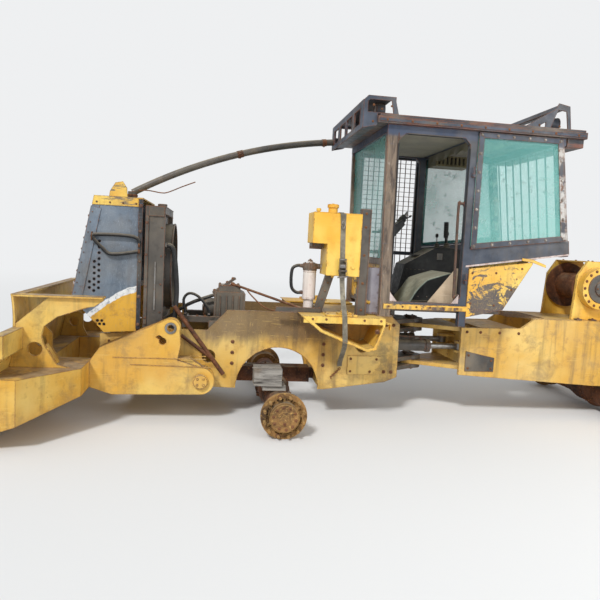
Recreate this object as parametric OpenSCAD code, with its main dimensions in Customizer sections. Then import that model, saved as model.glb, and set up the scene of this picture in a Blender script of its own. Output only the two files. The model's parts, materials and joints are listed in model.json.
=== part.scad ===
// Stripped articulated log skidder, standing on its four wheel hubs.
// X points forward, Y to the machine's left, Z up; the ground is Z = 0.
// Pieces are drawn from the front axle (X = 0) and shifted so that the
// origin is the middle of the machine's box.

/* [Stance] */
// Distance between the front and rear axles
wheelbase = 3600; // [3450:10:3800]
// Radius of the wheel flange, which stands on the ground
flange_r = 195; // [185:1:210]
// Distance from the middle to the outer face of a wheel flange
flange_face_y = 1100; // [1060:5:1160]
// Distance from the front axle back to the steering hitch
hitch_back = 1400; // [1380:5:1430]

/* [Hubs] */
// Number of wheel studs on a hub
stud_count = 12; // [8:1:16]
// Diameter of the stud circle
stud_circle = 335; // [325:1:345]
// Radius of a wheel stud
stud_r = 11; // [9:0.5:13]
// Length of a wheel stud outside the flange
stud_len = 55; // [40:1:70]
// Thickness of the wheel flange
flange_t = 28; // [22:1:36]
// Radius of the planet gear cover
cover_r = 125; // [115:1:135]
// Depth of the planet gear cover outside the flange
cover_len = 70; // [50:1:90]
// Radius of the spindle that the hub turns on
spindle_r = 70; // [60:1:80]
// Radial running clearance of every pin, spindle and rod
fit = 0.3; // [0.2:0.05:0.5]

/* [Axles] */
// Radius of the axle tube beside the hub
axle_tube_r = 105; // [95:1:115]
// Radius of the differential bowl
bowl_r = 170; // [160:1:180]
// Height of the front axle's rocking pin
rock_z = 330; // [320:1:345]
// Radius of the front axle's rocking pins
rock_pin_r = 55; // [45:1:60]

/* [Front frame] */
// Half width over the frame's side plates
frame_half_w = 450; // [430:5:470]
// Thickness of the frame's side plates
frame_t = 30; // [24:1:36]
// Height of the frame's deck
frame_top = 990; // [980:1:1000]
// Height of the frame's lower edge
frame_low = 270; // [260:1:280]
// Distance from the front axle to the frame's front end
frame_front = 1600; // [1580:5:1620]
// Radius of the arch over the front axle
arch_r = 390; // [380:1:400]

/* [Hitch] */
// Radius of the hitch pins
hitch_pin_r = 50; // [40:1:60]
// Radius of the hitch ears
hitch_ear_r = 125; // [110:1:140]
// Thickness of a hitch ear
hitch_ear_t = 40; // [30:1:45]
// Middle height of the upper hitch joint
hitch_up = 870; // [860:1:880]
// Middle height of the lower hitch joint
hitch_lo = 490; // [480:1:500]

/* [Steering cylinders] */
// Distance from the middle to each cylinder's pins
steer_y = 240; // [230:1:250]
// Distance from the hitch forward to the barrel's pin
steer_fwd = 350; // [340:1:360]
// Distance from the hitch back to the rod's pin
steer_aft = 450; // [440:1:460]
// Height of the steering cylinders
steer_z = 680; // [670:1:690]
// Radius of a steering barrel
barrel_r = 55; // [50:1:60]
// Radius of a steering rod
steer_rod_r = 28; // [24:1:32]
// Radius of the steering pins
steer_pin_r = 24; // [20:1:28]

/* [Nose] */
// Half width over the nose side panels
nose_half_w = 500; // [480:5:520]
// Thickness of the nose panels
panel_t = 10; // [8:1:14]
// Height of the nose's top
nose_top_z = 1950; // [1930:5:1970]
// Radius of the round perforations
perf_r = 12.5; // [10:0.5:14]
// Distance between neighbouring perforations
perf_pitch = 51; // [48:0.5:54]
// Number of louvre slots in the front grille
grille_slots = 12; // [8:1:14]
// Radius of the limb riser tube
riser_r = 34; // [28:1:40]

/* [Cab] */
// Half width over the cab's side frames
cab_half_w = 700; // [680:5:720]
// Thickness of a cab side frame
cab_post_t = 60; // [50:1:70]
// Height of the cab's floor
cab_floor_z = 1090; // [1085:1:1100]
// Height of the roof's upper face
roof_z = 2790; // [2760:5:2820]
// Thickness of the roof slab
roof_t = 80; // [70:1:90]
// Number of air slots in the headliner
vent_slots = 8; // [6:1:10]
// Thickness of the polycarbonate panes
pane_t = 12; // [10:1:14]

/* [Door] */
// Width of the door's tube frame
door_tube = 40; // [34:1:46]
// Number of upright guard bars in the door
door_bars = 9; // [6:1:11]
// Radius of a guard bar
guard_bar_r = 5; // [4:0.5:8]
// Height of a cell in the door's guard mesh
door_mesh = 52; // [46:1:60]

/* [Blade] */
// Half width of the blade
blade_half_w = 1450; // [1400:10:1500]
// Height of the blade's side wings
blade_h = 1120; // [1100:5:1140]
// Height of the blade's top edge
blade_top = 860; // [850:5:880]
// Radius of the blade's hollow face
blade_face_r = 1350; // [1300:5:1400]
// Thickness of the blade's face plate
blade_t = 20; // [16:1:26]
// Thickness of the blade's cutting edge
edge_t = 30; // [25:1:40]
// Distance from the front axle to the tip of the cutting edge
edge_x = 2535; // [2515:5:2560]
// Distance from the front axle to the push arm's pin
arm_pin_x = 700; // [690:1:710]
// Height of the push arm's pin
arm_pin_z = 380; // [370:1:390]
// Radius of the push arm's pin
arm_pin_r = 45; // [38:1:52]
// Distance from the middle to the push arm's middle
arm_y = 620; // [610:1:630]
// Width of a push arm
arm_w = 130; // [120:1:135]
// Radius of the lift cylinder eye in the push arm
lift_eye_r = 30; // [25:1:34]

/* [Rear frame] */
// Half width over the rear frame's side plates
rear_half_w = 380; // [370:1:390]
// Thickness of the rear frame's side plates
rear_t = 30; // [24:1:34]
// Height of the rear deck behind the cab
rear_deck = 1000; // [990:1:1005]
// Length of frame behind the rear axle
rear_tail = 750; // [720:5:780]

/* [Winch and arch] */
// Radius of the winch drum
drum_r = 140; // [120:1:160]
// Radius of the winch drum's flanges
drum_flange_r = 240; // [220:1:250]
// Half length of the winch drum over its flanges
drum_half = 250; // [230:1:255]
// Height of the arch above the ground
arch_z = 2200; // [2150:10:2260]
// Radius of the fairlead rollers
roller_r = 55; // [45:1:60]

/* [Hidden] */
$fn = 48;

STEEL = "#4d4a45";
YELLOW = "#d9a21c";
DARK = "#2c3036";
RUST = "#6b4a33";
GLASS = "#7fb8a6";

hub_z = flange_r;
hitch_x = -hitch_back;
rear_axle_x = -wheelbase;
frame_rear = hitch_x + 250;
rear_front = hitch_x - 400;
rear_end = rear_axle_x - rear_tail;
butt_t = 25;
butt_back = 95;

// blade face: an arc about an axis ahead of the blade
blade_axis_z = blade_top + 40;
blade_axis_x = edge_x - edge_t + sqrt(blade_face_r * blade_face_r - blade_axis_z * blade_axis_z);
function blade_back(z, r) = blade_axis_x - sqrt(r * r - (z - blade_axis_z) * (z - blade_axis_z));
machine_front = edge_x;
machine_rear = rear_end - butt_back;
front_x = -(machine_front + machine_rear) / 2;

module placed() { translate([front_x, 0, 0]) children(); }

module pair() {
  children();
  mirror([0, 1, 0]) children();
}

module box(x, y, z) {
  translate([x[0], y[0], z[0]]) cube([x[1] - x[0], y[1] - y[0], z[1] - z[0]]);
}

// a shape drawn in X and Z, extruded from y[0] to y[1]
module across(y) {
  translate([0, y[1], 0]) rotate([90, 0, 0]) linear_extrude(y[1] - y[0]) children();
}

module rod_x(y, z, r, x) {
  translate([x[0], y, z]) rotate([0, 90, 0]) cylinder(r = r, h = x[1] - x[0]);
}

module rod_y(x, z, r, y) {
  translate([x, y[1], z]) rotate([90, 0, 0]) cylinder(r = r, h = y[1] - y[0]);
}

module rod_z(x, y, r, z) {
  translate([x, y, z[0]]) cylinder(r = r, h = z[1] - z[0]);
}

// a round bar between two points
module rod_to(p, q, r) {
  d = q - p;
  translate(p) rotate([0, acos(d[2] / norm(d)), atan2(d[1], d[0])]) cylinder(r = r, h = norm(d));
}

// a flat bar in X and Z between two points
module strip(p, q, w) {
  d = (q - p) / norm(q - p);
  n = [-d[1], d[0]] * w / 2;
  polygon([p - n, q - n, q + n, p + n]);
}

/* ---- Front frame ---- */

bay_z = 800;
frame_outline = [
  [frame_front - 90, frame_low + 30], [frame_front, frame_low + 250], [frame_front, 740],
  [1320, 770], [1240, bay_z], [660, bay_z], [480, frame_top], [frame_rear + 90, frame_top],
  [frame_rear, frame_top - 80], [frame_rear, 400], [frame_rear + 120, 350],
  [-arch_r - 60, frame_low], [arch_r + 60, frame_low]
];
bulkhead_x = 425;
bulkhead_t = 30;
gap_z = [steer_z - 110, steer_z + 110];

module front_side() {
  across([frame_half_w - frame_t, frame_half_w]) difference() {
    polygon(frame_outline);
    translate([0, frame_low]) circle(r = arch_r);
    translate([640, 560]) circle(r = 60);
    translate([-800, 700]) circle(r = 70);
  }
}

module front_frame() {
  w = frame_half_w - frame_t;
  color(YELLOW) placed() difference() {
    union() {
      pair() front_side();
      box([frame_front - 100, frame_front - 60], [-w, w], [frame_low + 40, 730]);
      box([bulkhead_x, frame_front - 60], [-w, w], [frame_low, frame_low + 20]);
      for (s = [1, -1]) {
        x = s * bulkhead_x;
        box([x - bulkhead_t / 2, x + bulkhead_t / 2], [-w, w], [frame_low, 800]);
      }
      box([frame_rear + 60, -bulkhead_x], [-w, w], [frame_top - 25, frame_top]);
      box([frame_rear, frame_rear + 60], [-w, w], [gap_z[1], frame_top - 80]);
      box([frame_rear, frame_rear + 60], [-w, w], [400, gap_z[0]]);
      box([frame_rear + 190, frame_rear + 220], [-w, w], [400, frame_top - 25]);
      for (s = [1, -1]) {
        steer_ears(frame_rear + 190, s * steer_y, hitch_x + steer_fwd);
        rod_z(hitch_x + steer_fwd, s * steer_y, steer_pin_r, [steer_z - 70, steer_z + 70]);
      }
      pair() {
        rod_y(arm_pin_x, arm_pin_z, arm_pin_r * 2, [w, frame_half_w + 70]);
        rod_y(arm_pin_x, arm_pin_z, arm_pin_r, [w, arm_y + arm_w / 2 + 25]);
        rod_y(arm_pin_x, arm_pin_z, arm_pin_r * 1.5, [arm_y + arm_w / 2 + 8, arm_y + arm_w / 2 + 25]);
      }
    }
    for (s = [1, -1])
      rod_x(0, rock_z, rock_pin_r + fit, s > 0 ? [bulkhead_x - 60, bulkhead_x + 60] :
        [-bulkhead_x - 60, -bulkhead_x + 60]);
  }
}

// a pair of flat ears round a steering pin, standing on a cross plate at x
module steer_ears(x, y, pin_x) {
  for (s = [1, -1])
    translate([0, 0, steer_z + s * 46 - 12]) {
      translate([min(x, pin_x), y - 50, 0]) cube([abs(x - pin_x), 100, 24]);
      rod_z(pin_x, y, 50, [0, 24]);
    }
}

module hitch_ears() {
  color(STEEL) placed() {
    for (z = [hitch_up, hitch_lo]) {
      for (s = [1, -1]) {
        zz = z + s * (hitch_ear_t + 3);
        translate([0, 0, zz - hitch_ear_t / 2]) linear_extrude(hitch_ear_t) {
          translate([hitch_x, 0]) circle(r = hitch_ear_r);
          polygon([[hitch_x, -hitch_ear_r], [frame_rear, -300], [frame_rear, 300], [hitch_x, hitch_ear_r]]);
        }
      }
      rod_z(hitch_x, 0, hitch_pin_r, [z - hitch_ear_t * 1.5 - 15, z + hitch_ear_t * 1.5 + 15]);
    }
  }
}

module frame_pipes() {
  y = frame_half_w + 20 + fit;
  color(RUST) placed() {
    rod_to([960, y, 1010], [500, y, 400], 20);
    rod_to([890, y, 750], [610, y, 545], 16);
  }
}

/* ---- Nose ---- */

nose_rear = 1250;
nose_outline = [
  [nose_rear, 780], [1560, 760], [1830, 1050], [1665, nose_top_z - 12], [nose_rear, nose_top_z - 12]
];

module perforations() {
  step = perf_pitch * 0.75;
  for (k = [0:8]) translate([1612, 1150 + k * perf_pitch]) circle(r = perf_r);
  for (k = [0:5]) translate([1612 + step, 1150 + (k - 0.5) * perf_pitch]) circle(r = perf_r);
  for (k = [0:1]) translate([1612 + 2 * step, 1150 + k * perf_pitch]) circle(r = perf_r);
  for (k = [0:2]) translate([1560 + k * step * 0.95, 832]) circle(r = perf_r);
  for (k = [0:1]) translate([1560 + (k + 0.5) * step * 0.95, 862]) circle(r = perf_r);
}

module nose_sides() {
  color(DARK) placed() pair() {
    across([nose_half_w - panel_t, nose_half_w]) difference() {
      polygon(nose_outline);
      perforations();
    }
    box([nose_rear, nose_rear + 36], [nose_half_w, nose_half_w + 16], [800, nose_top_z - 12]);
  }
}

nose_skirt = 80;

module nose_top() {
  w = nose_half_w;
  skirt_front = 1665 + nose_skirt * (1830 - 1665) / (nose_top_z - 1062);
  color(YELLOW) placed() {
    box([nose_rear, 1665], [-w - 6, w + 6], [nose_top_z - 12, nose_top_z]);
    pair() across([w, w + 6]) polygon([[nose_rear + 36, nose_top_z], [1665, nose_top_z],
      [skirt_front, nose_top_z - nose_skirt], [nose_rear + 36, nose_top_z - nose_skirt]]);
    across([-210, -190]) polygon([[1480, nose_top_z], [1662, nose_top_z], [1650, nose_top_z + 90],
      [1600, nose_top_z + 175], [1530, nose_top_z + 190], [1490, nose_top_z + 130]]);
  }
}

grille_p = [1830, 1050];
grille_q = [1665, nose_top_z - 12];

module front_grille() {
  len = norm(grille_q - grille_p);
  w = nose_half_w - panel_t;
  tilt = atan2(grille_q[0] - grille_p[0], grille_q[1] - grille_p[1]);
  color(DARK) placed() translate([grille_p[0], 0, grille_p[1]]) rotate([0, tilt, 0]) difference() {
    union() {
      box([-14, 0], [-w, w], [0, len]);
      pair() box([0, 8], [w - 20, nose_half_w + 8], [0, len - nose_skirt]);
      pair() box([-80, 8], [nose_half_w, nose_half_w + 8], [0, len - nose_skirt - 2]);
    }
    for (k = [0:grille_slots - 1], s = [-1, 0, 1]) {
      z = 80 + k * (len - 160) / (grille_slots - 1);
      box([-20, 5], [s * 300 - 125, s * 300 + 125], [z - 14, z + 14]);
    }
  }
}

module radiator() {
  w = nose_half_w - panel_t - 5;
  x = [nose_rear - 190, nose_rear - 20];
  color(DARK) placed() difference() {
    union() {
      box([x[0] + 40, x[1] - 30], [-w + 60, w - 60], [bay_z + 75, 1820]);
      for (s = [1, -1]) box(x, s > 0 ? [w - 60, w] : [-w, -w + 60], [bay_z + fit, 1890]);
      box([x[0], x[1]], [-w, w], [1820, 1890]);
      box([x[0], x[1]], [-w, w], [bay_z + fit, bay_z + 80]);
      rod_x(0, 1350, 400, [x[0] - 60, x[0] + 40]);
    }
    rod_x(0, 1350, 385, [x[0] - 80, x[0] + 40]);
  }
}

/* ---- Limb riser: one arc of tube from the nose to the roof ---- */
riser_a = [1460, -380, nose_top_z + 100];
guard_x = -622;
riser_b = [guard_x + 12 + riser_r * 0.18, -630, roof_z - 52];

module limb_riser() {
  chord = norm(riser_b - riser_a);
  sag = 115;
  bend = (chord * chord / 4 + sag * sag) / (2 * sag);
  half = asin(chord / 2 / bend);
  d = (riser_b - riser_a) / chord;
  color(DARK) placed() {
    translate((riser_a + riser_b) / 2)
      rotate([0, 0, atan2(d[1], d[0])])
        rotate([0, -asin(d[2]), 0])
          translate([0, 0, sag - bend]) rotate([90, 0, 0])
            rotate([0, 0, 90 - half]) rotate_extrude(angle = 2 * half, $fn = 96)
              translate([bend, 0]) circle(r = riser_r, $fn = 24);
    rod_z(riser_a[0], riser_a[1], riser_r + 12, [nose_top_z, riser_a[2] + 10]);
  }
}

/* ---- What is left in the engine bay ---- */
module drive_remains() {
  w = frame_half_w - frame_t;
  color(DARK) placed() {
    box([470, 510], [-w, w], [830, 880]);
    box([850, 890], [-w, w], [815, 870]);
    for (s = [1, -1]) difference() {
      box([495, 905], s > 0 ? [200, 265] : [-265, -200], [845, 900]);
      for (x = [550, 820]) rod_z(x, s * 230, 9, [800, 950]);
    }
    box([330, 600], [-140, 190], [800, 1130]);
    box([360, 570], [-110, 160], [1130, 1190]);
    rod_x(30, 960, 95, [600, 690]);
    box([bulkhead_x - 15, bulkhead_x + 15], [-w, w], [800, 960]);
    translate([510, 110, 1180]) rotate([0, 35, 0]) box([-130, 130], [-40, 40], [0, 22]);
    box([560, 650], [w - 30, w], [bay_z - 10, 880]);
  }
}

// a smooth curve through the points p, n steps between neighbours
function smooth(p, n) = [
  for (i = [0:len(p) - 2], k = [0:n - 1])
    let (a = p[max(i - 1, 0)], b = p[i], c = p[i + 1], d = p[min(i + 2, len(p) - 1)], t = k / n)
      0.5 * (2 * b + (c - a) * t + (2 * a - 5 * b + 4 * c - d) * t * t + (3 * b - a - 3 * c + d) * t * t * t),
  p[len(p) - 1]
];

// a bent tube in a plane across Y, through the points p
module hose_run(p, r, n = 4, sides = 8) {
  q = smooth(p, n);
  m = len(q);
  ring = [
    for (i = [0:m - 1])
      let (d = i == 0 ? p[1] - p[0] : i == m - 1 ? p[len(p) - 1] - p[len(p) - 2] : q[i + 1] - q[i - 1])
      let (v = cross(d / norm(d), [0, 1, 0]))
        for (k = [0:sides - 1])
          q[i] + r * (cos(360 * k / sides) * [0, 1, 0] + sin(360 * k / sides) * v / norm(v))
  ];
  wall = [
    for (i = [0:m - 2], k = [0:sides - 1])
      let (a = i * sides + k, b = i * sides + (k + 1) % sides)
        each [[a, a + sides, b], [b, a + sides, b + sides]]
  ];
  ends = [[for (k = [0:sides - 1]) k], [for (k = [sides - 1:-1:0]) (m - 1) * sides + k]];
  polyhedron(ring, concat(wall, ends));
}

filter_x = -255;

module hoses() {
  y = nose_half_w + 16 + 15 + fit;
  x = nose_rear - 190 - fit;
  color("#1d1d1f") placed() {
    hose_run([[x, 426, 1550], [x - 30, 426, 1550], [x - 66, 426, 1528], [x - 88, 426, 1440],
      [x - 112, 426, 1200], [x - 112, 426, 1020], [x - 100, 426, 860], [x - 100, 426, bay_z + fit]], 22);
    hose_run([[870, 236, 900 + fit], [870, 236, 940], [890, 236, 1050], [840, 236, 1110], [750, 236, 1080],
      [650, 236, 960], [650, 236, 900 + fit]], 13);
    hose_run([[x - 10, 172, 850], [850, 172, 1000], [607.2, 172, 1099]], 17);
    // pipe from the filter's head to its foot
    hose_run([[filter_x + 64 + fit, 450, 1425], [filter_x + 120, 450, 1425], [filter_x + 165, 450, 1385],
      [filter_x + 165, 450, 1235], [filter_x + 120, 450, 1180], [filter_x + 60 + fit, 450, 1180]], 15);
    hose_run([[nose_rear + 18, y, 1485], [1500, y, 1450], [1580, y, 1500], [1665, y, 1590], [1620, y, 1615],
      [1320, y, 1610], [nose_rear + 18, y, 1540]], 15);
  }
}

/* ---- Fenders, tank and filter ---- */
fender_y = [frame_half_w, 850];
fender_top = 1010;

module fenders() {
  color(YELLOW) placed() pair() {
    across(fender_y) difference() {
      polygon([[-140, fender_top], [-320, 870], [-740, 710], [-820, 730], [-890, 940], [-890, fender_top]]);
      polygon([[-200, fender_top - 12], [-335, 890], [-735, 735], [-800, 750], [-870, 930],
        [-870, fender_top - 12]]);
    }
    box([-880, -160], [fender_y[1] - 12, fender_y[1]], [fender_top - 60, fender_top]);
    box([-640, -360], [650, 810], [fender_top, fender_top + 14]);
  }
}

tank_y = [400, cab_half_w];

module tank() {
  color(YELLOW) placed() {
    across(tank_y)
      polygon([[-660, 1360], [-360, 1360], [-360, 1640], [-230, 1640], [-230, 1910], [-660, 1910]]);
    rod_z(-420, 560, 42, [1910, 1960]);
    rod_z(-420, 560, 50, [1960, 1990]);
  }
}

module tank_post() {
  color(DARK) placed() {
    box([-350, 60], [545, 595], [fender_top, fender_top + 12]);
    box([-350, 60], [583, 595], [fender_top + 12, fender_top + 45]);
    box([-345, -240], [470, 560], [1605, 1640]);
    box([-740, -660], [tank_y[1] - 90, tank_y[1] - 10], [fender_top, 1960]);
    across([455, 535]) polygon([[-370, fender_top], [-300, fender_top], [-400, 1360], [-470, 1360]]);
  }
}

module filter() {
  color("#d8cfc8") placed() {
    rod_z(filter_x, 450, 60, [1120, 1390]);
    rod_z(filter_x, 450, 46, [fender_top, 1120]);
    rod_z(filter_x, 450, 64, [1390, 1452]);
    rod_z(filter_x, 450, 28, [1452, 1470]);
    rod_x(450, 1425, 22, [-360, filter_x]);
  }
}

/* ---- Cab ---- */
header_z = roof_z - roof_t;
a_post_x = -905;
b_post_x = -1650;
c_post_x = -2470;
// each post: foot [x, z], head [x, z], width
cab_posts = [
  [[a_post_x - 15, fender_top], [a_post_x + 15, header_z], 100],
  [[b_post_x - 5, 940], [b_post_x + 5, header_z], 70],
  [[c_post_x - 150, 1650], [c_post_x, header_z], 64]
];
// the band under the rear panes rises towards the back
ledge = [[b_post_x, 1490], [b_post_x, 1650], [c_post_x - 175, 1780], [c_post_x - 190, 1650]];
corner = 60;
hinge = [b_post_x - 5, cab_half_w + 25];
hinge_z = [1340, 2300];
hinge_pin_r = 8;
door_front = a_post_x - 50;
door_rear = b_post_x + 35;

module cab_side() {
  across([cab_half_w - cab_post_t, cab_half_w]) {
    intersection() {
      union() for (p = cab_posts) strip(p[0] - [0, 20], p[1] + [0, 20], p[2]);
      polygon([[-800, fender_top], [-1400, fender_top], [-1400, 940], [-2700, 940], [-2700, header_z],
        [-800, header_z]]);
    }
    polygon([[-840, header_z - 70], [-840, header_z], [-2530, header_z], [-2530, header_z - 70]]);
    polygon([[-900, cab_floor_z], [-900, cab_floor_z + 60], [b_post_x, cab_floor_z + 60],
      [b_post_x, cab_floor_z]]);
    polygon(ledge);
    for (z = [cab_floor_z + 55, header_z - 65]) {
      up = z < 2000 ? corner : -corner;
      polygon([[door_front + 10, z], [door_front - corner, z], [door_front + 10, z + up * 1.2]]);
      polygon([[door_rear - 10, z], [door_rear + corner, z], [door_rear - 10, z + up * 1.2]]);
    }
  }
}

module cab_frame() {
  w = cab_half_w - cab_post_t;
  color(DARK) placed() {
    pair() cab_side();
    box([-900, -840], [-w, w], [header_z - 70, header_z]);
    box([-2530, -2460], [-w, w], [header_z - 70, header_z]);
    box([-2640, -2590], [-w, w], [1650, 1710]);
    box([-930, -890], [-w, w], [1470, 1530]);
    box([-1700, -1640], [-w, w], [header_z - 50, header_z]);
    pair() box([-990, -850], [w - 30, cab_half_w], [fender_top, fender_top + 14]);
    // door hinges: a lug with an upright pin; the left door is missing
    for (z = hinge_z) pair() {
      box([hinge[0] - 13, hinge[0] + 13], [cab_half_w - 5, hinge[1]], [z, z + 30]);
      rod_z(hinge[0], hinge[1], 15, [z, z + 30]);
      rod_z(hinge[0], hinge[1], hinge_pin_r, [z, z + 90]);
    }
  }
}

module cab_panels() {
  w = cab_half_w;
  color(YELLOW) placed() {
    pair() across([w, w + 8])
      polygon([[b_post_x - 35, cab_floor_z - 60], [-2040, cab_floor_z + 20], [-2300, 1545],
        [-2300, 1565], [b_post_x - 35, 1490 - 12]]);
    pair() across([w, w + 8]) polygon([[-900, cab_floor_z - 8], [-900, cab_floor_z + 40],
      [b_post_x - 35, cab_floor_z + 40], [b_post_x - 35, cab_floor_z - 8]]);
    box([-925, -915], [-w + cab_post_t, w - cab_post_t], [cab_floor_z, 1470]);
    across([-w + cab_post_t, w - cab_post_t]) polygon([
      [-2040, cab_floor_z], [-2300, 1575], [-2590, 1655], [-2590, 1667], [-2292, 1586], [-2028, cab_floor_z]
    ]);
  }
}

module cab_floor() {
  w = cab_half_w - cab_post_t;
  color(STEEL) placed() {
    box([-2040, -900], [-w, w], [cab_floor_z - 30, cab_floor_z]);
    for (x = [-1020, -1090], s = [1, -1]) rod_z(x, s * 300, 45, [frame_top, cab_floor_z - 30]);
  }
}

module roof() {
  color(DARK) placed() {
    box([-2710, -740], [-740, 740], [header_z, roof_z - 22]);
    box([-2700, -760], [-725, 725], [roof_z - 22, roof_z]);
    box([-2700, -2540], [-700, 700], [header_z - 75, header_z]);
  }
}

// front guard: side brackets, hood, tray and a drop plate with windows
module light_guards() {
  y = [692, 704];
  color(DARK) placed() {
    difference() {
      union() {
        pair() across(y) polygon([[-610, 2660], [-610, 2900], [-650, 2940], [-900, 2940], [-900, 2900],
          [-930, roof_z], [-740, roof_z], [-740, 2690]]);
        box([-880, -650], [-y[0], y[0]], [2928, 2940]);
        box([guard_x, guard_x + 12], [-y[0], y[0]], [2660, 2905]);
        box([-740, guard_x], [-y[0], y[0]], [2690, 2702]);
      }
      pair() across([y[0] - 5, y[1] + 5]) polygon([[-650, roof_z + 10], [-650, 2890], [-670, 2905],
        [-860, 2905], [-880, roof_z + 10]]);
      for (s = [1, -1], c = [150, 475])
        box([guard_x - 10, guard_x + 20], [s * c - 110, s * c + 110], [2710, 2840]);
    }
    for (y = [-450, 450]) {
      rod_x(y, roof_z + 82, 60, [-860, -780]);
      box([-830, -810], [y - 15, y + 15], [roof_z, roof_z + 40]);
    }
  }
}

// rear guard: two wedge brackets and a hood
module rear_lights() {
  color(DARK) placed() {
    pair() across([600, 612]) difference() {
      polygon([[-2130, roof_z], [-2450, 2985], [-2480, 3040], [-2590, 3020], [-2620, roof_z]]);
      polygon([[-2310, roof_z + 40], [-2360, roof_z + 70], [-2360, roof_z + 30], [-2310, roof_z + 20]]);
      polygon([[-2410, roof_z + 15], [-2475, roof_z + 190], [-2560, roof_z + 180], [-2585, roof_z + 15]]);
    }
    across([-600, 600]) polygon([[-2446, 2973], [-2470, 3020], [-2590, 3020], [-2590, 3005], [-2480, 3005],
      [-2460, 2970]]);
    for (y = [-450, 450]) {
      rod_x(y, roof_z + 90, 60, [-2560, -2480]);
      box([-2530, -2510], [y - 15, y + 15], [roof_z, roof_z + 60]);
    }
  }
}

module windshield() {
  w = cab_half_w - cab_post_t - fit;
  color(GLASS) placed() across([-w, w]) strip([-900, 1532], [-872, header_z - 71], pane_t);
}

module side_panes() {
  color(GLASS) placed() pair()
    across([cab_half_w, cab_half_w + pane_t]) polygon([[b_post_x - 30, 1680], [c_post_x - 130, 1790],
      [c_post_x - 15, header_z - 5], [b_post_x - 30, header_z - 5]]);
}

module rear_guard() {
  w = cab_half_w - cab_post_t;
  color(DARK) placed() {
    for (y = [-w + 80:160:w - 80]) rod_to([-2614, y, 1711.2], [-2496, y, header_z - 71.2], 8);
  }
}

module headliner() {
  w = cab_half_w - cab_post_t - 5;
  duct_y = -w + 240;
  color("#6a6248") placed() difference() {
    union() {
      box([-1640, -905], [-w, w], [header_z - 60, header_z - 2]);
      box([-2100, -1700], [-w, w], [header_z - 60, header_z - 2]);
      box([-2100, -1700], [-w, duct_y], [header_z - 170, header_z - 60]);
    }
    for (k = [0:vent_slots - 1]) {
      x = -2060 + k * 320 / (vent_slots - 1);
      box([x - 11, x + 11], [duct_y - 50, duct_y + 20], [header_z - 150, header_z - 75]);
    }
  }
}

module controls() {
  z = cab_floor_z;
  color("#3a3a38") placed() {
    across([-560, -240])
      polygon([[-2010, z], [-1300, z], [-1380, z + 380], [-1700, z + 560], [-2010, z + 560]]);
    rod_to([-1860, -330, z + 550], [-1850, -330, z + 680], 11);
    rod_to([-1850, -330, z + 680], [-1845, -330, z + 850], 24);
    across([-60, 60]) polygon([[-960, z], [-1090, z], [-1130, z + 620], [-1260, z + 780], [-1230, z + 830],
      [-1060, z + 700]]);
    rod_to([-1180, 0, z + 730], [-1270, 0, z + 870], 30);
  }
}

module floor_mat() {
  z = cab_floor_z;
  color("#6f7a62") placed() {
    box([-1600, -1140], [60, 630], [z, z + 12]);
    across([100, 610]) polygon([[-1160, z + 12 + fit], [-1330, z + 250], [-1560, z + 330], [-1555, z + 342],
      [-1322, z + 262], [-1144, z + 12 + fit]]);
  }
}

// a bent tube on the rear door post, reaching into the doorway
module grab_handle() {
  y = cab_half_w - 20;
  x = [door_rear + 65, door_rear + 50];
  color(DARK) placed() {
    hose_run([[door_rear + 6, y, 2060], [x[1], y, 2060], [x[0], y, 2010], [x[1], y, 1270],
      [x[1] - 8, y, 1220], [door_rear + 3, y, 1215]], 13);
  }
}

module door_right() {
  y = [-hinge[1] - door_tube / 2, -hinge[1] + door_tube / 2];
  x = [hinge[0] + 20, door_front + 10];
  z = [1170, header_z - 50];
  ym = (y[0] + y[1]) / 2;
  color(DARK) placed() {
    difference() {
      box(x, y, z);
      box([x[0] + door_tube, x[1] - door_tube], [y[0] - 5, y[1] + 5], [z[0] + door_tube, 1560]);
      box([x[0] + door_tube, x[1] - door_tube], [y[0] - 5, y[1] + 5], [1560 + door_tube, z[1] - door_tube]);
    }
    for (k = [1:door_bars]) {
      bx = x[0] + door_tube + k * (x[1] - x[0] - 2 * door_tube) / (door_bars + 1);
      rod_z(bx, ym, guard_bar_r, [z[0] + door_tube - 5, z[1] - door_tube + 5]);
    }
    for (bz = [1600 + door_tube:door_mesh:z[1] - door_tube - 10])
      box([x[0] + door_tube - 3, x[1] - door_tube + 3], [ym - 2, ym + 2], [bz, bz + 5]);
    for (z = hinge_z) difference() {
      union() {
        rod_z(hinge[0], -hinge[1], 16, [z + 30 + fit, z + 88]);
        box([hinge[0], x[0] + 5], [ym - 6, ym + 6], [z + 32, z + 86]);
      }
      rod_z(hinge[0], -hinge[1], hinge_pin_r + fit, [z, z + 100]);
    }
  }
}

/* ---- Front axle ---- */
module axle_body() {
  y_end = flange_face_y - 200;
  rod_y(0, hub_z, axle_tube_r, [-y_end, y_end]);
  rod_y(0, hub_z, spindle_r, [-flange_face_y + 30, flange_face_y - 30]);
  for (s = [1, -1])
    translate([0, s * 260, hub_z]) rotate([-s * 90, 0, 0])
      cylinder(r1 = axle_tube_r + 45, r2 = axle_tube_r, h = 200);
  rod_y(0, hub_z, axle_tube_r + 45, [-260, 260]);
  translate([0, 0, hub_z]) sphere(r = bowl_r);
}

module front_axle() {
  color(STEEL) placed() {
    axle_body();
    box([-360, 360], [-90, 90], [hub_z + 60, rock_z + 70]);
    rod_x(0, rock_z, rock_pin_r, [-bulkhead_x - 40, bulkhead_x + 40]);
  }
}

module timber_blocks() {
  base = hub_z + axle_tube_r + fit;
  color("#8b8578") placed() {
    box([-20, 230], [470, 680], [base + 44, 500]);
    box([-60, 150], [480, 660], [base, base + 44]);
  }
}

hub_turn = 11;
groove_r = [cover_r + 4, stud_circle / 2 - stud_r - 4];

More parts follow.
